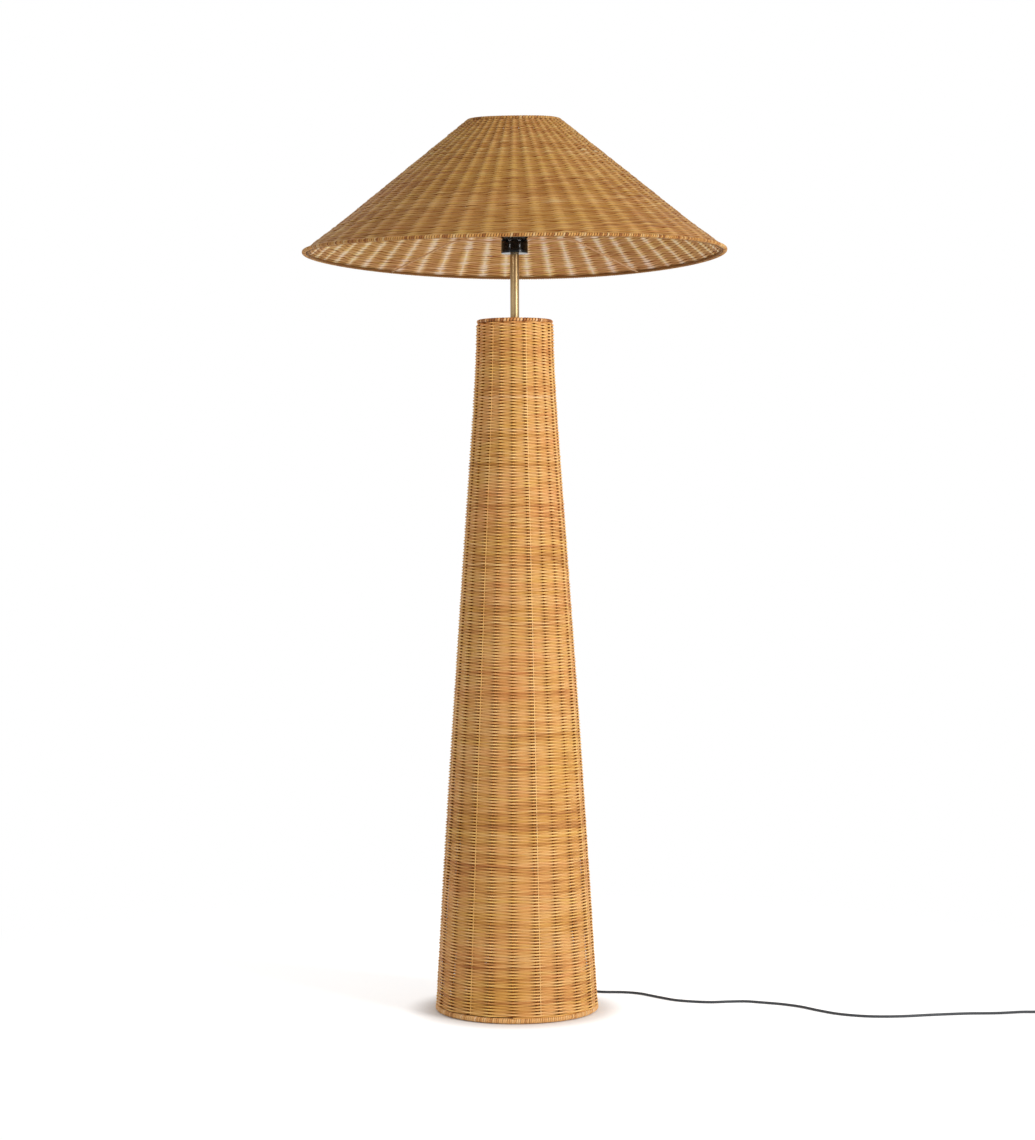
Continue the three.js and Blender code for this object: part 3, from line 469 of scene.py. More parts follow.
EXIT_ANGLE = math.radians(52.714)
EXIT_HEIGHT = 20.8 * MM
FLOOR_HEIGHT = 2.4
SLEEVE_HEIGHT = 4.3
SWITCH_LINE = -66
FLUTE_DEPTH = 2.6 * MM
GROMMET_REACH = 20.3 * MM
exit_reach = tower_radius(EXIT_HEIGHT) - FLUTE_DEPTH + GROMMET_REACH
exit_point = (exit_reach * math.cos(EXIT_ANGLE), exit_reach * math.sin(EXIT_ANGLE), EXIT_HEIGHT)
fall_route = [(96.3, 126.2, 20.4), (102.4, 132.1, 18), (111, 136.3, 13.4), (121.5, 137.6, 5.7)]
fall_route += [(129.3, 137.5, 3.1)]
floor_route = [
    *[(137.6, 135.5), (149, 131.2), (160, 129.6), (172, 129.1), (185, 127.8), (200, 123.2)],
    *[(216, 113.5), (233, 95), (252, 74), (272, 55), (298, 43), (330, 36)],
    *[(364, 41), (392, 42), (420, 31), (450, 17), (480, -6), (506, -38)],
    *[(536, -68), (580, -88), (632, -90), (690, -78), (750, -68), (800, -66)],
]
switch_route = [(x, SWITCH_LINE, SLEEVE_HEIGHT) for x in (843.7, 857.7, 871.7, 885, 900)]
route = np.array([*fall_route, *[(x, y, FLOOR_HEIGHT) for x, y in floor_route], *switch_route]) * MM
floor_line = smooth_line(np.concatenate([[exit_point], route]), 12)
floor_lead = lead("floor_lead", floor_line)
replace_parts(floor_lead, "lead_on_floor")

COIL_TURNS = 6.5
COIL_PITCH = 5.05
COIL_RADIUS = 34.7
COIL_MIDDLE = (1016.3, -31.3)
COIL_STEPS = 24
coil_turn = np.arange(int(COIL_TURNS * COIL_STEPS) + 1) / COIL_STEPS
coil_reach = COIL_RADIUS - COIL_PITCH * (COIL_TURNS / 2 - np.abs(COIL_TURNS / 2 - coil_turn))
coil_angle = TURN * coil_turn - math.pi / 2
coil_height = FLOOR_HEIGHT + COIL_PITCH * np.clip((coil_turn - COIL_TURNS / 2) / 0.5 + 0.5, 0, 1)
coil_x = COIL_MIDDLE[0] + coil_reach * np.cos(coil_angle)
coil_y = COIL_MIDDLE[1] + coil_reach * np.sin(coil_angle)
loops = np.stack([coil_x, coil_y, coil_height], 1)
coil_start = [(984.3, SWITCH_LINE, SLEEVE_HEIGHT), (988.8, SWITCH_LINE, SLEEVE_HEIGHT)]
coil_start += [(1000.3, SWITCH_LINE, 3.35), loops[0] - (4.5, 0, 0)]
coil_end = [loops[-1] - (4.5, 0, 0), loops[-1] - (14, 0, 0)]
coil_route = np.concatenate([coil_start, loops, coil_end])
coil_line = smooth_line(coil_route * MM, 4)
coil_lead = lead("coil_lead", coil_line)
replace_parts(coil_lead, "lead_coil")


# The foot switch's spring, a coil with two closed ends

SPRING_FOOT = np.array([928.0, -66.0, 2.8])
SPRING_HEIGHT, SPRING_RADIUS, SPRING_WIRE = 13.0, 3.9, 1.1
SPRING_TURNS = [0, 1, 4.5, 5.5]
SPRING_CLIMB = [0, 1.3, 10.6, SPRING_HEIGHT - SPRING_WIRE]
spring_turn = np.linspace(0, SPRING_TURNS[-1], 166)
spring_x = SPRING_RADIUS * np.cos(TURN * spring_turn)
spring_y = SPRING_RADIUS * np.sin(TURN * spring_turn)
spring_rise = SPRING_WIRE / 2 + np.interp(spring_turn, SPRING_TURNS, SPRING_CLIMB)
spring_line = (SPRING_FOOT + np.stack([spring_x, spring_y, spring_rise], 1)) * MM
button_spring = wire("button_spring", spring_line, SPRING_WIRE * MM, "zinc_steel", "lamp", "switch_spring")
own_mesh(button_spring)
switch_nodes = [button_spring, "switch_base", "switch_cover", "switch_button"]
switch_nodes += ["switch_sleeve_in", "switch_sleeve_out"]


# Woven surfaces

STRAND_SIDES = 6
SPAN_STEPS = np.array([0, 0.12, 0.3, 0.5, 0.7, 0.88])
ROUNDING = 0.985


MAP_MARGIN = 0.002
ROW_MARGIN = 0.04


def strand_map(quads, rings, sides, per_turn):
    """Places for baked colours: each turn of the strand is a row, and its two ends share a corner."""
    rows = math.ceil(rings / per_turn)
    step_at = quads // sides
    side_at = quads % sides
    first = step_at[:, :1]
    column = (first % per_turn) + (step_at - first)
    side = np.where((side_at == 0) & (side_at[:, :1] == sides - 1), sides, side_at)
    used = 1 - 2 * MAP_MARGIN
    u = MAP_MARGIN + used * column / per_turn
    row = first // per_turn + ROW_MARGIN + (1 - 2 * ROW_MARGIN) * side / sides
    v = MAP_MARGIN + used * row / rows
    return np.concatenate([np.stack([u, v], -1).reshape(-1, 2), np.full((2 * sides, 2), 0.001)])


def weft(
    name, body, look, node, stakes, first_stake, turns, place_of, tone_of, section, sharpness, splits,
    ripple=0.0, crown_highlight=0.0, sway=(0.0, 0.11), pair=0, rise=0.0, slim=1.0, relief_shade=(0.28, 0.4), edge_shades=(0.6, 0.6),
):
    """One unbroken strand that winds round and weaves in and out of the stakes, in place of a CAD node.

    place_of(turn, angle) gives the radius of the stakes' ring, the height, the wave's size and the tilt of
    the side that faces out. tone_of gives a tone and a warmth. The strand is split into pieces on its way.

    sharpness shapes the bulge over a stake. ripple is how far the strand stands in or out by chance, and sway
    how far up or down, and over what part of a turn. crown is a painted highlight: how much paler a bulge is
    inside the hollow. pair is 1 or -1 for the two strands of a twined weave, which pass each other by rise
    and are slim times as high there. valley is painted shade and highlight: how dark a strand is painted
    halfway, and how much paler it is painted where it stands out. seams is the painted shade of its edges
    outside and inside.
    """
    span = len(SPAN_STEPS)
    per_turn = stakes * span
    count = int(turns * stakes) * span
    step = np.arange(count + 1)
    turn = (step // span + SPAN_STEPS[step % span]) / stakes
    angle = first_stake + TURN * turn
    ring_radius, height, wave, tilt = place_of(turn, angle)
    swing = stakes * (angle - first_stake) / 2
    zigzag = np.arcsin(ROUNDING * np.cos(swing)) / math.asin(ROUNDING)
    bend = np.sign(zigzag) * np.abs(zigzag) ** sharpness * (pair or 1)
    off = wave * bend + ripple * drift(turn, 0.17)
    out = outward(angle)
    face = out * np.cos(tilt)[:, None] + UP * np.sin(tilt)[:, None]
    lift = UP * np.cos(tilt)[:, None] - out * np.sin(tilt)[:, None]
    line = out * ring_radius[:, None] + UP * height[:, None] + face * off[:, None]
    line = line + lift * (pair * rise * np.sin(swing) + sway[0] * drift(turn, sway[1]))[:, None]
    thick = 1 + 0.05 * drift(turn, 0.23)
    # painted shade along the seams: its strength changes in short dashes, and rising sets which edge of a
    # strand gets more
    seam = 0.6 + 0.4 * drift(turn, 0.03)
    shaded_edge_side = np.sign(-np.sin(swing)) * (pair or 1)
    narrow = slim + (1 - slim) * np.abs(bend)
    length = TURN * ring_radius.mean() * turn
    tone, warm = tone_of(turn, angle, height, ring_radius)
    round_sides = len(section)
    side_angle = TURN * (np.arange(round_sides) + 0.5) / round_sides
    edges = np.linspace(0, count, splits + 1).astype(int)
    for i, (start, end) in enumerate(zip(edges[:-1], edges[1:])):
        part = slice(start, end + 1)
        points, faces = swept(line[part], face[part], section, scale=thick[part], narrow=narrow[part])
        rings = end + 1 - start
        spread = np.repeat(np.arange(rings), round_sides)
        sides = np.tile(side_angle, rings)
        inside = np.clip(0.5 - 1.2 * np.cos(sides), 0, 1)
        here = bend[part][spread]
        # painted shade and highlight in depth: darker halfway and along the seams between rows, paler where
        # the strand stands out
        proud = here * np.cos(sides)
        edge_shade = edge_shades[0] + (edge_shades[1] - edge_shades[0]) * inside
        groove_shade = (1 - np.abs(np.cos(sides))) * seam[part][spread] * edge_shade
        groove_shade = groove_shade * (0.65 + 0.35 * shaded_edge_side[part][spread] * np.sign(np.sin(sides)))
        # painted highlight: bulges that face into the hollow get a paler tone
        crown_highlight_tone = crown_highlight * inside * np.clip(-here, 0, 1) ** 3
        attributes = {
            "tone": np.clip(tone[part][spread] + crown_highlight_tone, 0, 1),
            "warm": warm[part][spread],
            "depth": np.clip(relief_shade[0] - relief_shade[1] * proud + groove_shade, 0, 1),
            "inside": inside,
            "along": np.stack([length[part][spread], np.cos(sides), np.sin(sides)], 1),
        }
        bake_map = strand_map(faces[0], rings, round_sides, per_turn)
        piece = made(f"{name}_{i + 1}", points, faces, look, body, attributes, bake_map)
        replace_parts(piece, node)


# depth is how much painted shade the rods get, through the depth attribute
def rods(name, lines, facings, section, look, body, tone, closed=False, warm=0.2, depth=0.25, node=None):
    """Several rods as one piece, each with its own tone."""
    parts, tones, alongs, warms = [], [], [], []
    for line, facing in zip(lines, facings):
        parts.append(swept(line, facing, section, closed))
        steps = np.concatenate([[0], np.cumsum(np.linalg.norm(np.diff(line, axis=0), axis=1))])
        mine = tone + rng.uniform(-0.12, 0.12) + 0.07 * drift(steps, 0.03)
        sides = np.arange(len(section)) * TURN / len(section)
        tones.append(np.repeat(mine, len(section)))
        warms.append(np.full(len(line) * len(section), np.clip(warm + rng.uniform(-0.2, 0.2), 0, 1)))
        start = rng.uniform(0, 50)
        rings = np.repeat(steps + start, len(section))
        round_it = np.tile(sides, len(line))
        alongs.append(np.stack([rings, np.cos(round_it), np.sin(round_it)], 1))
    points, faces = joined(parts)
    attributes = {
        "tone": np.concatenate(tones),
        "warm": np.concatenate(warms),
        "depth": np.full(len(points), depth),
        "along": np.concatenate(alongs),
    }
    piece = made(name, points, faces, look, body, attributes)
    if node is not None:
        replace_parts(piece, node)
    return piece


def standing(angle, reach, height):
    """A line in the upright plane at an angle round the lamp."""
    return reach[:, None] * spoke(angle) + np.broadcast_to(height, reach.shape)[:, None] * UP


# Tower: one long weft round 21 stakes

WEFT_RADIUS = 1.27 * MM
WEFT_HALF_HEIGHT = 1.46 * MM
ROW_PITCH = 2.5 * MM
TOWER_STAKES = 21
TOWER_WAVE = 2.6 * MM
TOWER_PROUD = (1.4 * MM, 0.9 * MM)
TOWER_FIRST_STAKE = math.radians(-93)
WEAVE_BOTTOM = 11.6 * MM
WEAVE_TOP = 1155.2 * MM
WEAVE_EDGE = 20 * MM  # the wobble of the rows fades out over this height
WEFT_LAP = 1.2 * MM  # how far the weft runs past the weave's two ends
tower_low = WEAVE_BOTTOM - WEFT_LAP
tower_turns = (WEAVE_TOP + WEFT_LAP - tower_low) / ROW_PITCH
ROW_WAVES = 8
row_wobble = rng.uniform(0, TURN, ROW_WAVES)


def tower_face(height):
    """The radius of the weave's outer face, a little proud of the CAD's, most at half height."""
    share = np.clip(height / TOWER_HEIGHT, 0, 1)
    proud = TOWER_PROUD[0] + TOWER_PROUD[1] * 4 * share * (1 - share)
    return tower_radius(np.minimum(height, TOWER_HEIGHT)) + proud


def tower_place(turn, angle):
    height = tower_low + ROW_PITCH * turn
    edge = np.clip(np.minimum(height - tower_low, WEAVE_TOP - height) / WEAVE_EDGE, 0, 1)
    for k, start in enumerate(row_wobble):
        height = height + edge * 0.13 * MM * np.sin((k + 1) * angle + (k - 3.5) * height / 0.031 + start)
    slope = (tower_radius(height - 0.001) - tower_radius(height + 0.001)) / 0.002
    tilt = np.arctan(slope)
    ring = tower_face(height) - (WEFT_RADIUS + TOWER_WAVE) / np.cos(tilt)
    uneven = patches(angle, height, 0.3, 6, np.random.default_rng(5))
    return ring, height, TOWER_WAVE * np.clip(0.86 + 0.14 * uneven, 0.6, 1), tilt


def strand_tones(turn, size):
    """A tone for each strand that was woven in, which lasts for size turns or so."""
    ends = np.cumsum(rng.uniform(0.25, 1.75, int(turn.max() / size * 1.3) + 8) * size)
    own = rng.normal(0, 1, len(ends) + 1)
    index = np.searchsorted(ends, turn).clip(0, len(own) - 1)
    hue = rng.uniform(0, 1, len(own))
    return own[index], hue[index]


DARK_BANDS = (256 * MM, 464 * MM, 848 * MM, 921 * MM)
PALEST_STRAND = 0.68  # tones above this one are held back


def tower_tone(turn, angle, height, ring):
    own, hue = strand_tones(turn, 1.1)
    bands = drift(height + 0.003 * np.sin(angle + 1), 0.021)
    broad = drift(height, 0.075)
    blots = patches(angle, height, 0.055, 9)
    tone = 0.58 + 0.11 * own + 0.11 * bands + 0.05 * broad + 0.07 * blots
    for place in DARK_BANDS:
        tone -= 0.1 * np.exp(-(((height - place) / (9 * MM)) ** 2))
    tone += 0.13 * drift(turn, 0.045)
    tone = np.minimum(tone, PALEST_STRAND + 0.3 * (tone - PALEST_STRAND))
    warm = 0.4 * hue + 0.15 + 0.16 * patches(angle, height, 0.12, 6) + 0.2 * drift(turn, 0.06)
    return np.clip(tone, 0.02, 0.98), np.clip(warm, 0, 1)


tower_section = round_section(WEFT_HALF_HEIGHT, STRAND_SIDES, WEFT_RADIUS / WEFT_HALF_HEIGHT)
weft(
    "tower_weft", "lamp", "tower_cane", "tower_weave", TOWER_STAKES, TOWER_FIRST_STAKE, tower_turns,
    tower_place, tower_tone, tower_section, sharpness=1.9, splits=4, ripple=0.4 * MM, sway=(0.2 * MM, 0.11),
)

BY_STAKE_SHARE = 0.16
BY_STAKE_PROUD = 0.95 * MM
stake_heights = np.linspace(WEAVE_BOTTOM + 0.2 * MM, WEAVE_TOP - 0.2 * MM, 90)
stake_reach = tower_face(stake_heights) - WEFT_RADIUS - TOWER_WAVE


def tower_stake_set(name, angles, reaches, section, look, tone, depth):
    lines = [standing(angle, reach, stake_heights) for angle, reach in zip(angles, reaches)]
    facings = [np.tile(spoke(angle), (len(stake_heights), 1)) for angle in angles]
    rods(name, lines, facings, section, look, "lamp", tone, depth=depth)


stake_angles = [TOWER_FIRST_STAKE + TURN * k / TOWER_STAKES for k in range(TOWER_STAKES)]
stake_reaches = [stake_reach] * TOWER_STAKES
stake_section = round_section(1.25 * MM, 8)
# the stakes get a depth of 0.5 of painted shade
tower_stake_set("tower_stakes", stake_angles, stake_reaches, stake_section, "stake_cane", 0.42, 0.5)
by_angles, by_reaches = [], []
for k in range(TOWER_STAKES):
    if rng.random() < 0.5:
        by_angles.append(TOWER_FIRST_STAKE + TURN * (k + BY_STAKE_SHARE) / TOWER_STAKES)
        by_reaches.append(stake_reach + BY_STAKE_PROUD + 0.2 * MM * drift(stake_heights, 0.05))
by_section = round_section(0.8 * MM, 6)
tower_stake_set("tower_by_stakes", by_angles, by_reaches, by_section, "tower_cane", 0.72, 0.1)


# Wrapped edges


def ring_line(radius, height, count, warp=None):
    angle = TURN * np.arange(count) / count
    lift = np.zeros(count) if warp is None else warp(radius, angle)
    return np.stack([radius * np.cos(angle), radius * np.sin(angle), height + lift], 1)


STRIP_THICKNESS = 0.8 * MM
OVAL = 0.82  # a wrapped edge's section is an oval, squarer below 1


def wrap(
    name, body, look, node, ring, half_depth, half_height, wraps, width, tone, uneven,
    warm=0.2, steps=20, warp=None,
):
    """A strip of cane wound round a bound edge, in place of a CAD node.

    ring is the radius and height of the edge's middle, and uneven how much the tones of two wraps differ.
    """
    radius, height = ring
    turn = np.arange(wraps * steps + 1) / steps
    angle = TURN * (turn / wraps) + 0.06 * TURN * drift(turn, 0.9) / wraps
    over, up = np.cos(TURN * turn), np.sin(TURN * turn)
    reach = radius + np.sign(over) * np.abs(over) ** OVAL * half_depth
    lift = height + np.sign(up) * np.abs(up) ** OVAL * half_height
    if warp is not None:
        lift = lift + warp(reach, angle)
    out = outward(angle)
    line = out * reach[:, None] + UP * lift[:, None]
    face = unit(out * (over / half_depth)[:, None] + UP * (up / half_height)[:, None])
    strip = strap_section(width, STRIP_THICKNESS)
    # the strip gets a little painted shade
    piece = rods(name, [line], [face], strip, look, body, tone, warm=warm, depth=0.08, node=node)
    layer = piece.data.attributes["tone"]
    tones = np.zeros(len(piece.data.vertices), np.float32)
    layer.data.foreach_get("value", tones)
    wrap_of = (np.repeat(turn, len(strip)) + 0.25).astype(int)
    tones += uneven * rng.normal(0, 1, wraps + 2)[wrap_of]
    layer.data.foreach_set("value", np.clip(tones, 0.03, 0.97))


# painted shade: the cores are dark, with a depth of 0.7, so the gaps between the wraps read as shade
def core(name, ring, half_depth, half_height, body, tone, warp=None, node=None):
    """The dark rod that a bound edge's strip is wound on."""
    angle = TURN * np.arange(20) / 20
    section = np.stack([half_depth * np.cos(angle), -half_height * np.sin(angle)], 1)
    line = ring_line(*ring, 240, warp)
    facing = line * (1, 1, 0)
    rods(name, [line], [facing], section, "stake_cane", body, tone, closed=True, depth=0.7, node=node)


foot_outer = tower_radius(13.7 * MM) + 1.2 * MM
foot_ring = (foot_outer - 5 * MM, 5.5 * MM)
wrap(
    "foot_border_wrap", "lamp", "binding_cane", "tower_foot_border", foot_ring, 4.55 * MM, 4.2 * MM,
    wraps=236, width=3.2 * MM, tone=0.53, uneven=0.16, warm=0.3,
)
core("foot_border_core", foot_ring, 4.0 * MM, 3.7 * MM, "lamp", 0.3)

top_outer = tower_radius(1149 * MM) + 0.5 * MM
top_ring = (top_outer - 6.3 * MM, 1160 * MM)
wrap(
    "top_border_wrap", "lamp", "binding_cane", None, top_ring, 4.5 * MM, 3.0 * MM,
    wraps=72, width=4.2 * MM, tone=0.42, uneven=0.36, warm=0.75,
)
core("top_border_core", top_ring, 3.9 * MM, 2.6 * MM, "lamp", 0.25, node="tower_top_border")

# Woven disc that closes the tower's top

DISC_OUTER = top_outer - 10.4 * MM
DISC_START = 11 * MM
DISC_MIDDLE = 1157.1 * MM
DISC_PITCH = 1.75 * MM
DISC_WAVE = 0.75 * MM
DISC_SPOKES = 21
disc_turns = (DISC_OUTER - DISC_START - 1 * MM) / DISC_PITCH


def disc_place(turn, angle):
    height, wave, tilt = (np.full_like(turn, value) for value in (DISC_MIDDLE, DISC_WAVE, math.pi / 2))
    return DISC_START + DISC_PITCH * turn, height, wave, tilt


def disc_tone(turn, angle, height, ring):
    own, hue = strand_tones(turn, 2.0)
    return np.clip(0.5 + 0.1 * own + 0.1 * drift(ring, 0.006), 0.05, 0.95), 0.4 * hue


weft(
    "top_disc_weft", "lamp", "tower_cane", "tower_top_disc", DISC_SPOKES, 0.0, disc_turns,
    disc_place, disc_tone, round_section(0.9 * MM, STRAND_SIDES), sharpness=1.0, splits=1,
)
spoke_reach = np.linspace(6.5 * MM, DISC_OUTER - 0.5 * MM, 12)
spoke_lines = [standing(TURN * k / DISC_SPOKES, spoke_reach, DISC_MIDDLE) for k in range(DISC_SPOKES)]
spoke_facings = [np.tile(UP, (len(spoke_reach), 1))] * DISC_SPOKES
spoke_section = round_section(0.85 * MM, 8, 0.8)
rods("top_disc_spokes", spoke_lines, spoke_facings, spoke_section, "stake_cane", "lamp", 0.45)


# Shade: a warped cone of weave

SHADE_STAKES = 53
SHADE_FIRST_STAKE = math.radians(-90.5)
SHADE_WAVE = 1.6 * MM
SHADE_STRAND = (0.9 * MM, 3.5 * MM)
SHADE_PITCH = 5.5 * MM
SHADE_INSET = (0.6 * MM, 2.2 * MM)
RIM_RADIUS = 358 * MM
CONE_FOOT = (349.5 * MM, 1278.7 * MM)
CONE_HEAD = (84.85 * MM, 1495.8 * MM)
RIM_SAG = 4.7 * MM
RIM_LEAN = 1.2 * MM
RIM_TWIST = 1.4 * MM
RIM_NOD = 0.95 * MM
RIM_DROP = 1.3 * MM
cone_rise = CONE_HEAD[1] - CONE_FOOT[1]
cone_run = CONE_FOOT[0] - CONE_HEAD[0]
slope = math.atan2(cone_rise, cone_run)
slant = math.hypot(cone_rise, cone_run)


def warp(radius, angle):
    """How far the sagging, leaning, twisted shade stands above its mean at a place."""
    share = radius / RIM_RADIUS
    tilt = RIM_LEAN * np.cos(angle) - RIM_NOD * np.sin(angle) - RIM_TWIST * np.sin(2 * angle) - RIM_DROP
    return RIM_SAG * np.cos(2 * angle) * np.sqrt(share) + tilt * share


def cone_place(along, angle, inside):
    """A point of the cone at a distance up its slant, set inside its outer face."""
    radius = CONE_FOOT[0] - along * math.cos(slope) - inside * math.sin(slope)
    height = CONE_FOOT[1] + along * math.sin(slope) - inside * math.cos(slope)
    return radius, height + warp(radius, angle)


shade_low = -5 * MM
shade_high = slant - 1.6 * MM
shade_turns = (shade_high - shade_low) / SHADE_PITCH
SHADE_WAVES = (3, 5, 8, 11, 14, 17, 21, 26, 31, 37)
shade_wobble = rng.uniform(0, TURN, len(SHADE_WAVES))


def shade_swing(along):
    """How far a strand goes in and out of the stakes, less near the rim."""
    return SHADE_WAVE * np.clip(0.7 + 0.3 * along / slant, 0, 1)


def shade_ring(along, angle):
    """Where the stakes' middle runs: further inside the CAD's face away from the rim."""
    away = np.clip(along / 0.08, 0, 1)
    inset = SHADE_INSET[0] + SHADE_INSET[1] * away * away * (3 - 2 * away)
    return cone_place(along, angle, SHADE_STRAND[0] + shade_swing(along) + inset)


def shade_place(turn, angle):
    along = shade_low + SHADE_PITCH * turn
    edge = np.clip(np.minimum(along - shade_low, shade_high - along) / 0.015, 0, 1)
    for k, (waves, start) in enumerate(zip(SHADE_WAVES, shade_wobble)):
        along = along + edge * 0.3 * MM * np.sin(waves * angle + (k - 4.5) * along / 0.04 + start)
    radius, height = shade_ring(along, angle)
    return radius, height, shade_swing(along), np.full_like(turn, math.pi / 2 - slope)


def shade_tone(turn, angle, height, ring):
    own, hue = strand_tones(turn, 0.55)
    tone = 0.48 + 0.09 * own + 0.07 * drift(turn, 3.2) + 0.08 * patches(angle, height, 0.05, 9)
    tone += 0.14 * drift(turn, 0.03)
    warm = 0.35 * hue + 0.12 + 0.2 * patches(angle, height, 0.1, 6) + 0.15 * drift(turn, 0.04)
    return np.clip(tone, 0.02, 0.98), np.clip(warm, 0, 1)


shade_section = round_section(SHADE_STRAND[1], 8, SHADE_STRAND[0] / SHADE_STRAND[1])
for name, pair in (("shade_weft_a", 1), ("shade_weft_b", -1)):
    weft(
        name, "shade", "shade_cane", "shade_weave", SHADE_STAKES, SHADE_FIRST_STAKE, shade_turns,
        shade_place, shade_tone, shade_section, sharpness=1.6, splits=2, ripple=0.5 * MM,
        sway=(0.42 * MM, 0.04), crown_highlight=0.85, pair=pair, rise=1.4 * MM, slim=0.55,
        relief_shade=(0.36, 0.42), edge_shades=(1.0, 1.7),
    )
rib_along = np.linspace(shade_low + 0.5 * MM, slant - 0.3 * MM, 60)
rib_angles = [SHADE_FIRST_STAKE + TURN * k / SHADE_STAKES for k in range(SHADE_STAKES)]
rib_lines = [standing(angle, *shade_ring(rib_along, angle)) for angle in rib_angles]
rib_faces = [spoke(angle) * math.sin(slope) + UP * math.cos(slope) for angle in rib_angles]
rib_facings = [np.tile(face, (len(rib_along), 1)) for face in rib_faces]
rib_section = round_section(1.0 * MM, 8)
# the shade's stakes get a depth of 0.5 of painted shade
rods("shade_stakes", rib_lines, rib_facings, rib_section, "stake_cane", "shade", 0.42, depth=0.5)

RIM_BAND = (RIM_RADIUS - 5.1 * MM, 1273.3 * MM)
NECK_BAND = (77.6 * MM, 1493.2 * MM)
wrap(
    "rim_wrap", "shade", "rim_cane", "shade_rim_binding", RIM_BAND, 3.4 * MM, 2.6 * MM,
    wraps=520, width=3.3 * MM, tone=0.6, uneven=0.3, steps=12, warp=warp,
)
core("rim_core", RIM_BAND, 2.9 * MM, 2.1 * MM, "shade", 0.3, warp)
wrap(
    "neck_wrap", "shade", "shade_cane", "shade_top_binding", NECK_BAND, 3.3 * MM, 3.1 * MM,
    wraps=96, width=4.7 * MM, tone=0.45, uneven=0.2, warm=0.5, warp=warp,
)
core("neck_core", NECK_BAND, 2.8 * MM, 2.6 * MM, "shade", 0.3, warp)


# Spider and wire rings

RING_WIRE_DIAMETER = 3.6 * MM
SPIDER_DIAMETER = 3 * MM
SPIDER_ANGLES = (50.5, 129.5, 230.5, 309.5)
SPIDER_RISE = 16.5
SPIDER_ROOT = 22.6
SPIDER_BEND = 159
SPIDER_REACH = 17  # half of the distance over which the wire bends
SPIDER_START = 1295.0
SPIDER_END = 344.45
RIM_WIRE = (347.22, 1272.4)
TOP_WIRE = (82.0, 1481.9)
for label, (radius, height), node, count in (
    ("rim_wire_ring", RIM_WIRE, "shade_rim_wire", 240),
    ("top_wire_ring", TOP_WIRE, "shade_top_wire", 120),
):
    line = ring_line(radius * MM, height * MM, count, warp)
    wire(label, line, RING_WIRE_DIAMETER, "cane_wire", "shade", node, True)
bend_height = SPIDER_START + SPIDER_RISE
rise = SPIDER_RISE / (SPIDER_BEND - SPIDER_ROOT)
for i, degrees in enumerate(SPIDER_ANGLES):
    angle = math.radians(degrees)
    end_height = RIM_WIRE[1] + warp(RIM_WIRE[0] * MM, angle) / MM
    fall = (bend_height - end_height) / (SPIDER_END - SPIDER_BEND)
    stations = [(SPIDER_ROOT, SPIDER_START)]
    for step, climb in ((-2, rise), (-1, rise), (1, -fall), (2, -fall)):
        stations.append((SPIDER_BEND + step * SPIDER_REACH, bend_height + climb * step * SPIDER_REACH))
    stations.append((SPIDER_END, end_height))
    points = [(r * math.cos(angle) * MM, r * math.sin(angle) * MM, h * MM) for r, h in stations]
    line = smooth_line(points, 8)
    wire(f"spider_wire_{i + 1}", line, SPIDER_DIAMETER, "cream_wire", "shade", f"spider_arm_{i + 1}")


# Stem and lampholder


def refined(outline, spacing):
    """The outline with points added, so that none of its sides is longer than spacing."""
    result = []
    for start, end in zip(outline, np.roll(outline, -1, 0)):
        parts = max(1, math.ceil(np.linalg.norm(end - start) / spacing))
        result.extend(start + (end - start) * k / parts for k in range(parts))
    return np.array(result)


def turned_piece(name, node, look, body, corner, outline, sides=96, push=None, spacing=None):
    """A turned piece in place of a CAD node, from its outline in millimetres, its corners rounded."""
    outline = rounded(outline, corner)
    if spacing is not None:
        outline = refined(outline, spacing)
    points, faces = lathe(outline, sides, push)
    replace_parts(made(name, points * MM, faces, look, body), node)


def wall(inner, outer, low, high):
    return [(inner, low), (outer, low), (outer, high), (inner, high)]


def cup(hole, inner, outer, low, floor, high):
    return [(hole, low), (outer, low), (outer, high), (inner, high), (inner, floor), (hole, floor)]


def thread(least_radius, most_radius, low, high, pitch, depth):
    """A round thread on the walls between two radii and two heights."""
    def push(radius, height, angle):
        fade = np.clip(np.minimum(height - low, high - height) / pitch, 0, 1)
        walls = (radius > least_radius) & (radius < most_radius)
        return walls * fade * depth * np.sin(TURN * height / pitch - angle)

    return push


RIB_COUNT = 40
RIB_DEPTH = 0.5
RIB_LOW, RIB_HIGH = 1297.2, 1306.0
NUT_FACE = 22.3  # beyond this radius the ring nut has ribs


def ribs(radius, height, angle):
    """Fine upright ribs round the ring nut, for grip."""
    fade = np.clip(np.minimum(height - RIB_LOW, RIB_HIGH - height) / 0.6, 0, 1)
    wave = np.clip(0.5 + 0.9 * np.cos(RIB_COUNT * angle), 0, 1)
    return -RIB_DEPTH * (radius > NUT_FACE) * fade * wave


holder_thread = thread(19.0, 19.2, 1294.5, 1328.0, 2.4, 0.36)
bulb_thread = thread(13.0, 14.0, 1291.0, 1313.6, 3.63, 0.3)
cap_cup = cup(5.4, 20.5, 22.5, 1274.9, 1276.9, 1293.9)
holder_cup = cup(4, 14.15, 19.1, 1283.9, 1289.9, 1331.1)
turned_piece("stem_flange", "tube_flange", "satin_brass", "lamp", 0.8, wall(5.4, 17, 1159.3, 1162.3))
turned_piece("stem_tube", "brass_tube", "satin_brass", "lamp", 0.3, wall(6.5, 7.5, 1162.6, 1274.6))
turned_piece("holder_cap", "lampholder_cap", "gloss_black", "lamp", 0.9, cap_cup)
turned_piece(
    "holder_ring_nut", "shade_ring_nut", "gloss_black", "ring_nut", 0.9, wall(19.8, 22.5, 1296.1, 1307.1),
    sides=RIB_COUNT * 8, push=ribs, spacing=0.8,
)
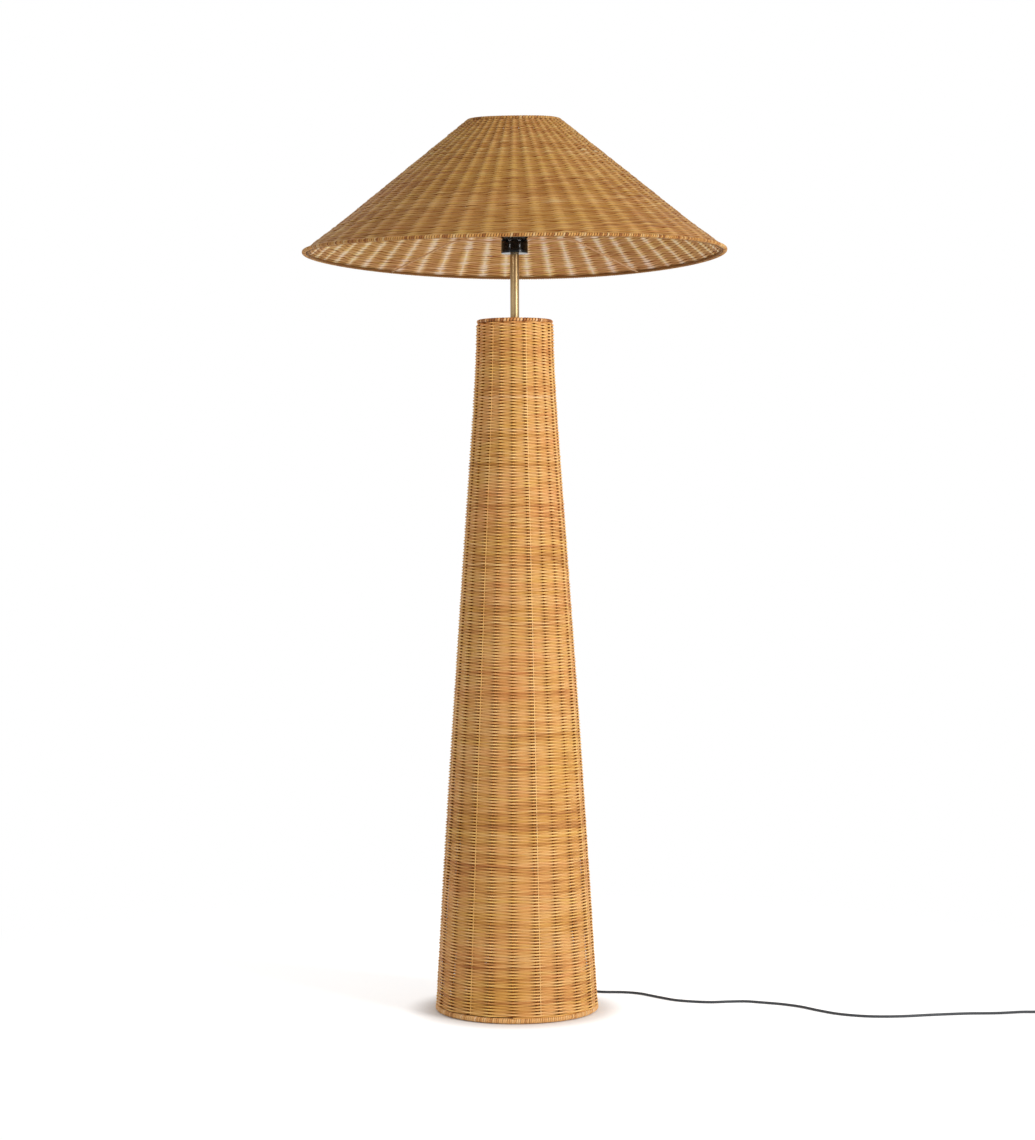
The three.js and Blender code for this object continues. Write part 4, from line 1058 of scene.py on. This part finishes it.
turned_piece(
    "holder_body", "lampholder_body", "black_plastic", "lamp", 0.5, holder_cup,
    push=holder_thread, spacing=0.4,
)
turned_piece(
    "holder_screw_shell", "screw_shell", "satin_brass", "lamp", 0.1, wall(13.3, 13.6, 1290.2, 1314.2),
    push=bulb_thread, spacing=0.4,
)


# Carried-over CAD nodes

CAD_LOOKS = {
    "black_steel": "cross_bar frame_ ",
    "black_rubber": "foot_pad_ lead_grommet switch_sleeve plug_sleeve",
    "cast_iron": "base_weight",
    "zinc_steel": "weight_washer weight_nut weight_bolt thread_washer thread_nut cap_nut threaded_tube",
    "gloss_black": "switch_button spider_ring",
    "black_plastic": "lead_clip switch_base switch_cover plug_body",
    "satin_brass": "middle_contact plug_pin",
    "lead_black": "lead_inside",
}
for look, starts in CAD_LOOKS.items():
    for name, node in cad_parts.items():
        if name.startswith(tuple(starts.split())):
            for material_slot in node.material_slots:
                material_slot.material = looks[look]

# Width of the softened edges of some of them, in millimetres
SOFT_EDGES = {
    0.4: "plug_sleeve switch_sleeve_in switch_sleeve_out weight_nut cap_nut thread_nut",
    0.5: "frame_top_plate",
    0.6: "lead_grommet",
    0.7: "switch_button",
    0.8: "plug_pin_1 plug_pin_2",
    0.9: "switch_base",
    1.4: "switch_cover",
    1.5: "base_weight",
    1.6: "plug_body",
}
SHARP = math.radians(38)
smooth_tree = bpy.data.node_groups.new("smooth_by_angle", "GeometryNodeTree")
for in_out in ("INPUT", "OUTPUT"):
    smooth_tree.interface.new_socket("Geometry", in_out=in_out, socket_type="NodeSocketGeometry")
g = Nodes(smooth_tree)
given = g.add("NodeGroupInput").outputs[0]
faces_smooth = g.add("GeometryNodeSetShadeSmooth", {"Geometry": given}, domain="FACE").outputs[0]
corner_angle = g.add("GeometryNodeInputMeshEdgeAngle").outputs["Unsigned Angle"]
is_sharp = g.math("GREATER_THAN", corner_angle, SHARP)
inputs = {"Geometry": faces_smooth, "Selection": is_sharp, "Shade Smooth": False}
edges_sharp = g.add("GeometryNodeSetShadeSmooth", inputs, domain="EDGE").outputs[0]
smooth_tree.links.new(edges_sharp, g.add("NodeGroupOutput").inputs[0])
for width, names in SOFT_EDGES.items():
    for name in names.split():
        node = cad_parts[name]
        node.modifiers.new("weld", "WELD").merge_threshold = 0.01 * MM
        bevel = node.modifiers.new("edges", "BEVEL")
        bevel.width = width * MM
        bevel.segments = 3
        bevel.limit_method = "ANGLE"
        bevel.angle_limit = SHARP
        node.modifiers.new("smooth", "NODES").node_group = smooth_tree


# Floor, background and light

WHITE = (1.0, 1.0, 1.0, 1.0)
LIGHT_FLOOR = (0.93, 0.93, 0.93, 1.0)
# painted shadow: the floor inside the tower is coloured near black
PAINTED_SHADOW_FLOOR = (0.05, 0.035, 0.02, 1.0)
FOOT_SHADE = 126 * MM  # inside the tower, where no light reaches the floor
FLOOR_HALF = 30.0
SOFT_LIGHT = 0.55


def seen_directly(nodes):
    """1 for camera, glossy and transmission rays, which see the plain white background."""
    path = nodes.add("ShaderNodeLightPath")
    seen = nodes.math("ADD", path.outputs["Is Camera Ray"], path.outputs["Is Glossy Ray"])
    return nodes.math("ADD", seen, path.outputs["Is Transmission Ray"], clamp=True)


floor_material, n = new_material("floor")
place = n.add("ShaderNodeNewGeometry").outputs["Position"]
away = n.add("ShaderNodeVectorMath", {0: place}, operation="LENGTH").outputs["Value"]


def fade(start, end, first, last):
    return n.spread(away, first, last, start, end, interpolation_type="SMOOTHSTEP")


seen = seen_directly(n)
# painted shadow: inside the tower the floor takes the near-black colour
painted_shadow_area = fade(FOOT_SHADE - 4 * MM, FOOT_SHADE, 1.0, 0.0)
matt = n.add("ShaderNodeBsdfDiffuse", {"Color": n.mix(painted_shadow_area, LIGHT_FLOOR, PAINTED_SHADOW_FLOOR)}).outputs[0]
lift = n.math("MULTIPLY", fade(0.13, 0.2, 0.0, 0.5), seen)
lifted = n.add("ShaderNodeEmission", {"Color": WHITE, "Strength": lift}).outputs[0]
near = n.add("ShaderNodeAddShader", {0: matt, 1: lifted}).outputs[0]
glow = n.add("ShaderNodeEmission", {"Color": WHITE, "Strength": 1.0}).outputs[0]
far = n.math("MULTIPLY", fade(0.35, 1.3, 0.0, 1.0), seen)
n.output(n.add("ShaderNodeMixShader", {0: far, 1: near, 2: glow}).outputs[0])
floor_corners = [(x * FLOOR_HALF, y * FLOOR_HALF, 0) for x, y in ((-1, -1), (1, -1), (1, 1), (-1, 1))]
floor_mesh = bpy.data.meshes.new("floor")
floor_mesh.from_pydata(floor_corners, [], [(0, 1, 2, 3)])
floor_mesh.materials.append(floor_material)
floor = placed("floor", floor_mesh)

world = bpy.data.worlds.new("world")
world.use_nodes = True
world.node_tree.nodes.clear()
bpy.context.scene.world = world
n = Nodes(world.node_tree)
soft = n.add("ShaderNodeBackground", {"Color": WHITE, "Strength": SOFT_LIGHT}).outputs[0]
white = n.add("ShaderNodeBackground", {"Color": WHITE, "Strength": 1.0}).outputs[0]
n.output(n.add("ShaderNodeMixShader", {0: seen_directly(n), 1: soft, 2: white}).outputs[0], "World")


LAMP_AIM = np.array([0.0, 0.0, 0.85])


def lamp_at(name, azimuth, elevation, distance, size, power, aim=LAMP_AIM):
    """A soft lamp that faces a point. Azimuth 0 is in front, 90 at the right."""
    data = bpy.data.lights.new(name, "AREA")
    data.shape = "RECTANGLE"
    data.size, data.size_y = size
    data.energy = power
    lamp = placed(name, data)
    turn, rise = math.radians(azimuth), math.radians(elevation)
    back = np.array([math.sin(turn) * math.cos(rise), -math.cos(turn) * math.cos(rise), math.sin(rise)])
    lamp.location = aim + distance * back
    lamp.rotation_mode = "XYZ"
    lamp.rotation_euler = (math.radians(90) - rise, 0.0, turn)
    return lamp


lamp_at("key", 50, 12, 4.6, (1.5, 2.4), 150)
lamp_at("fill", -44, 8, 5.0, (1.2, 2.4), 16)
# Two small strips that give the glossy cap its two highlights
CAP_AIM = np.array([0.0, 0.0, 1.319])
for name, azimuth in (("cap_strip_left", -40), ("cap_strip_right", 44)):
    lamp_at(name, azimuth, 0, 0.25, (0.025, 0.034), 0.06, CAP_AIM).visible_camera = False

bpy.context.scene.view_settings.view_transform = "Standard"
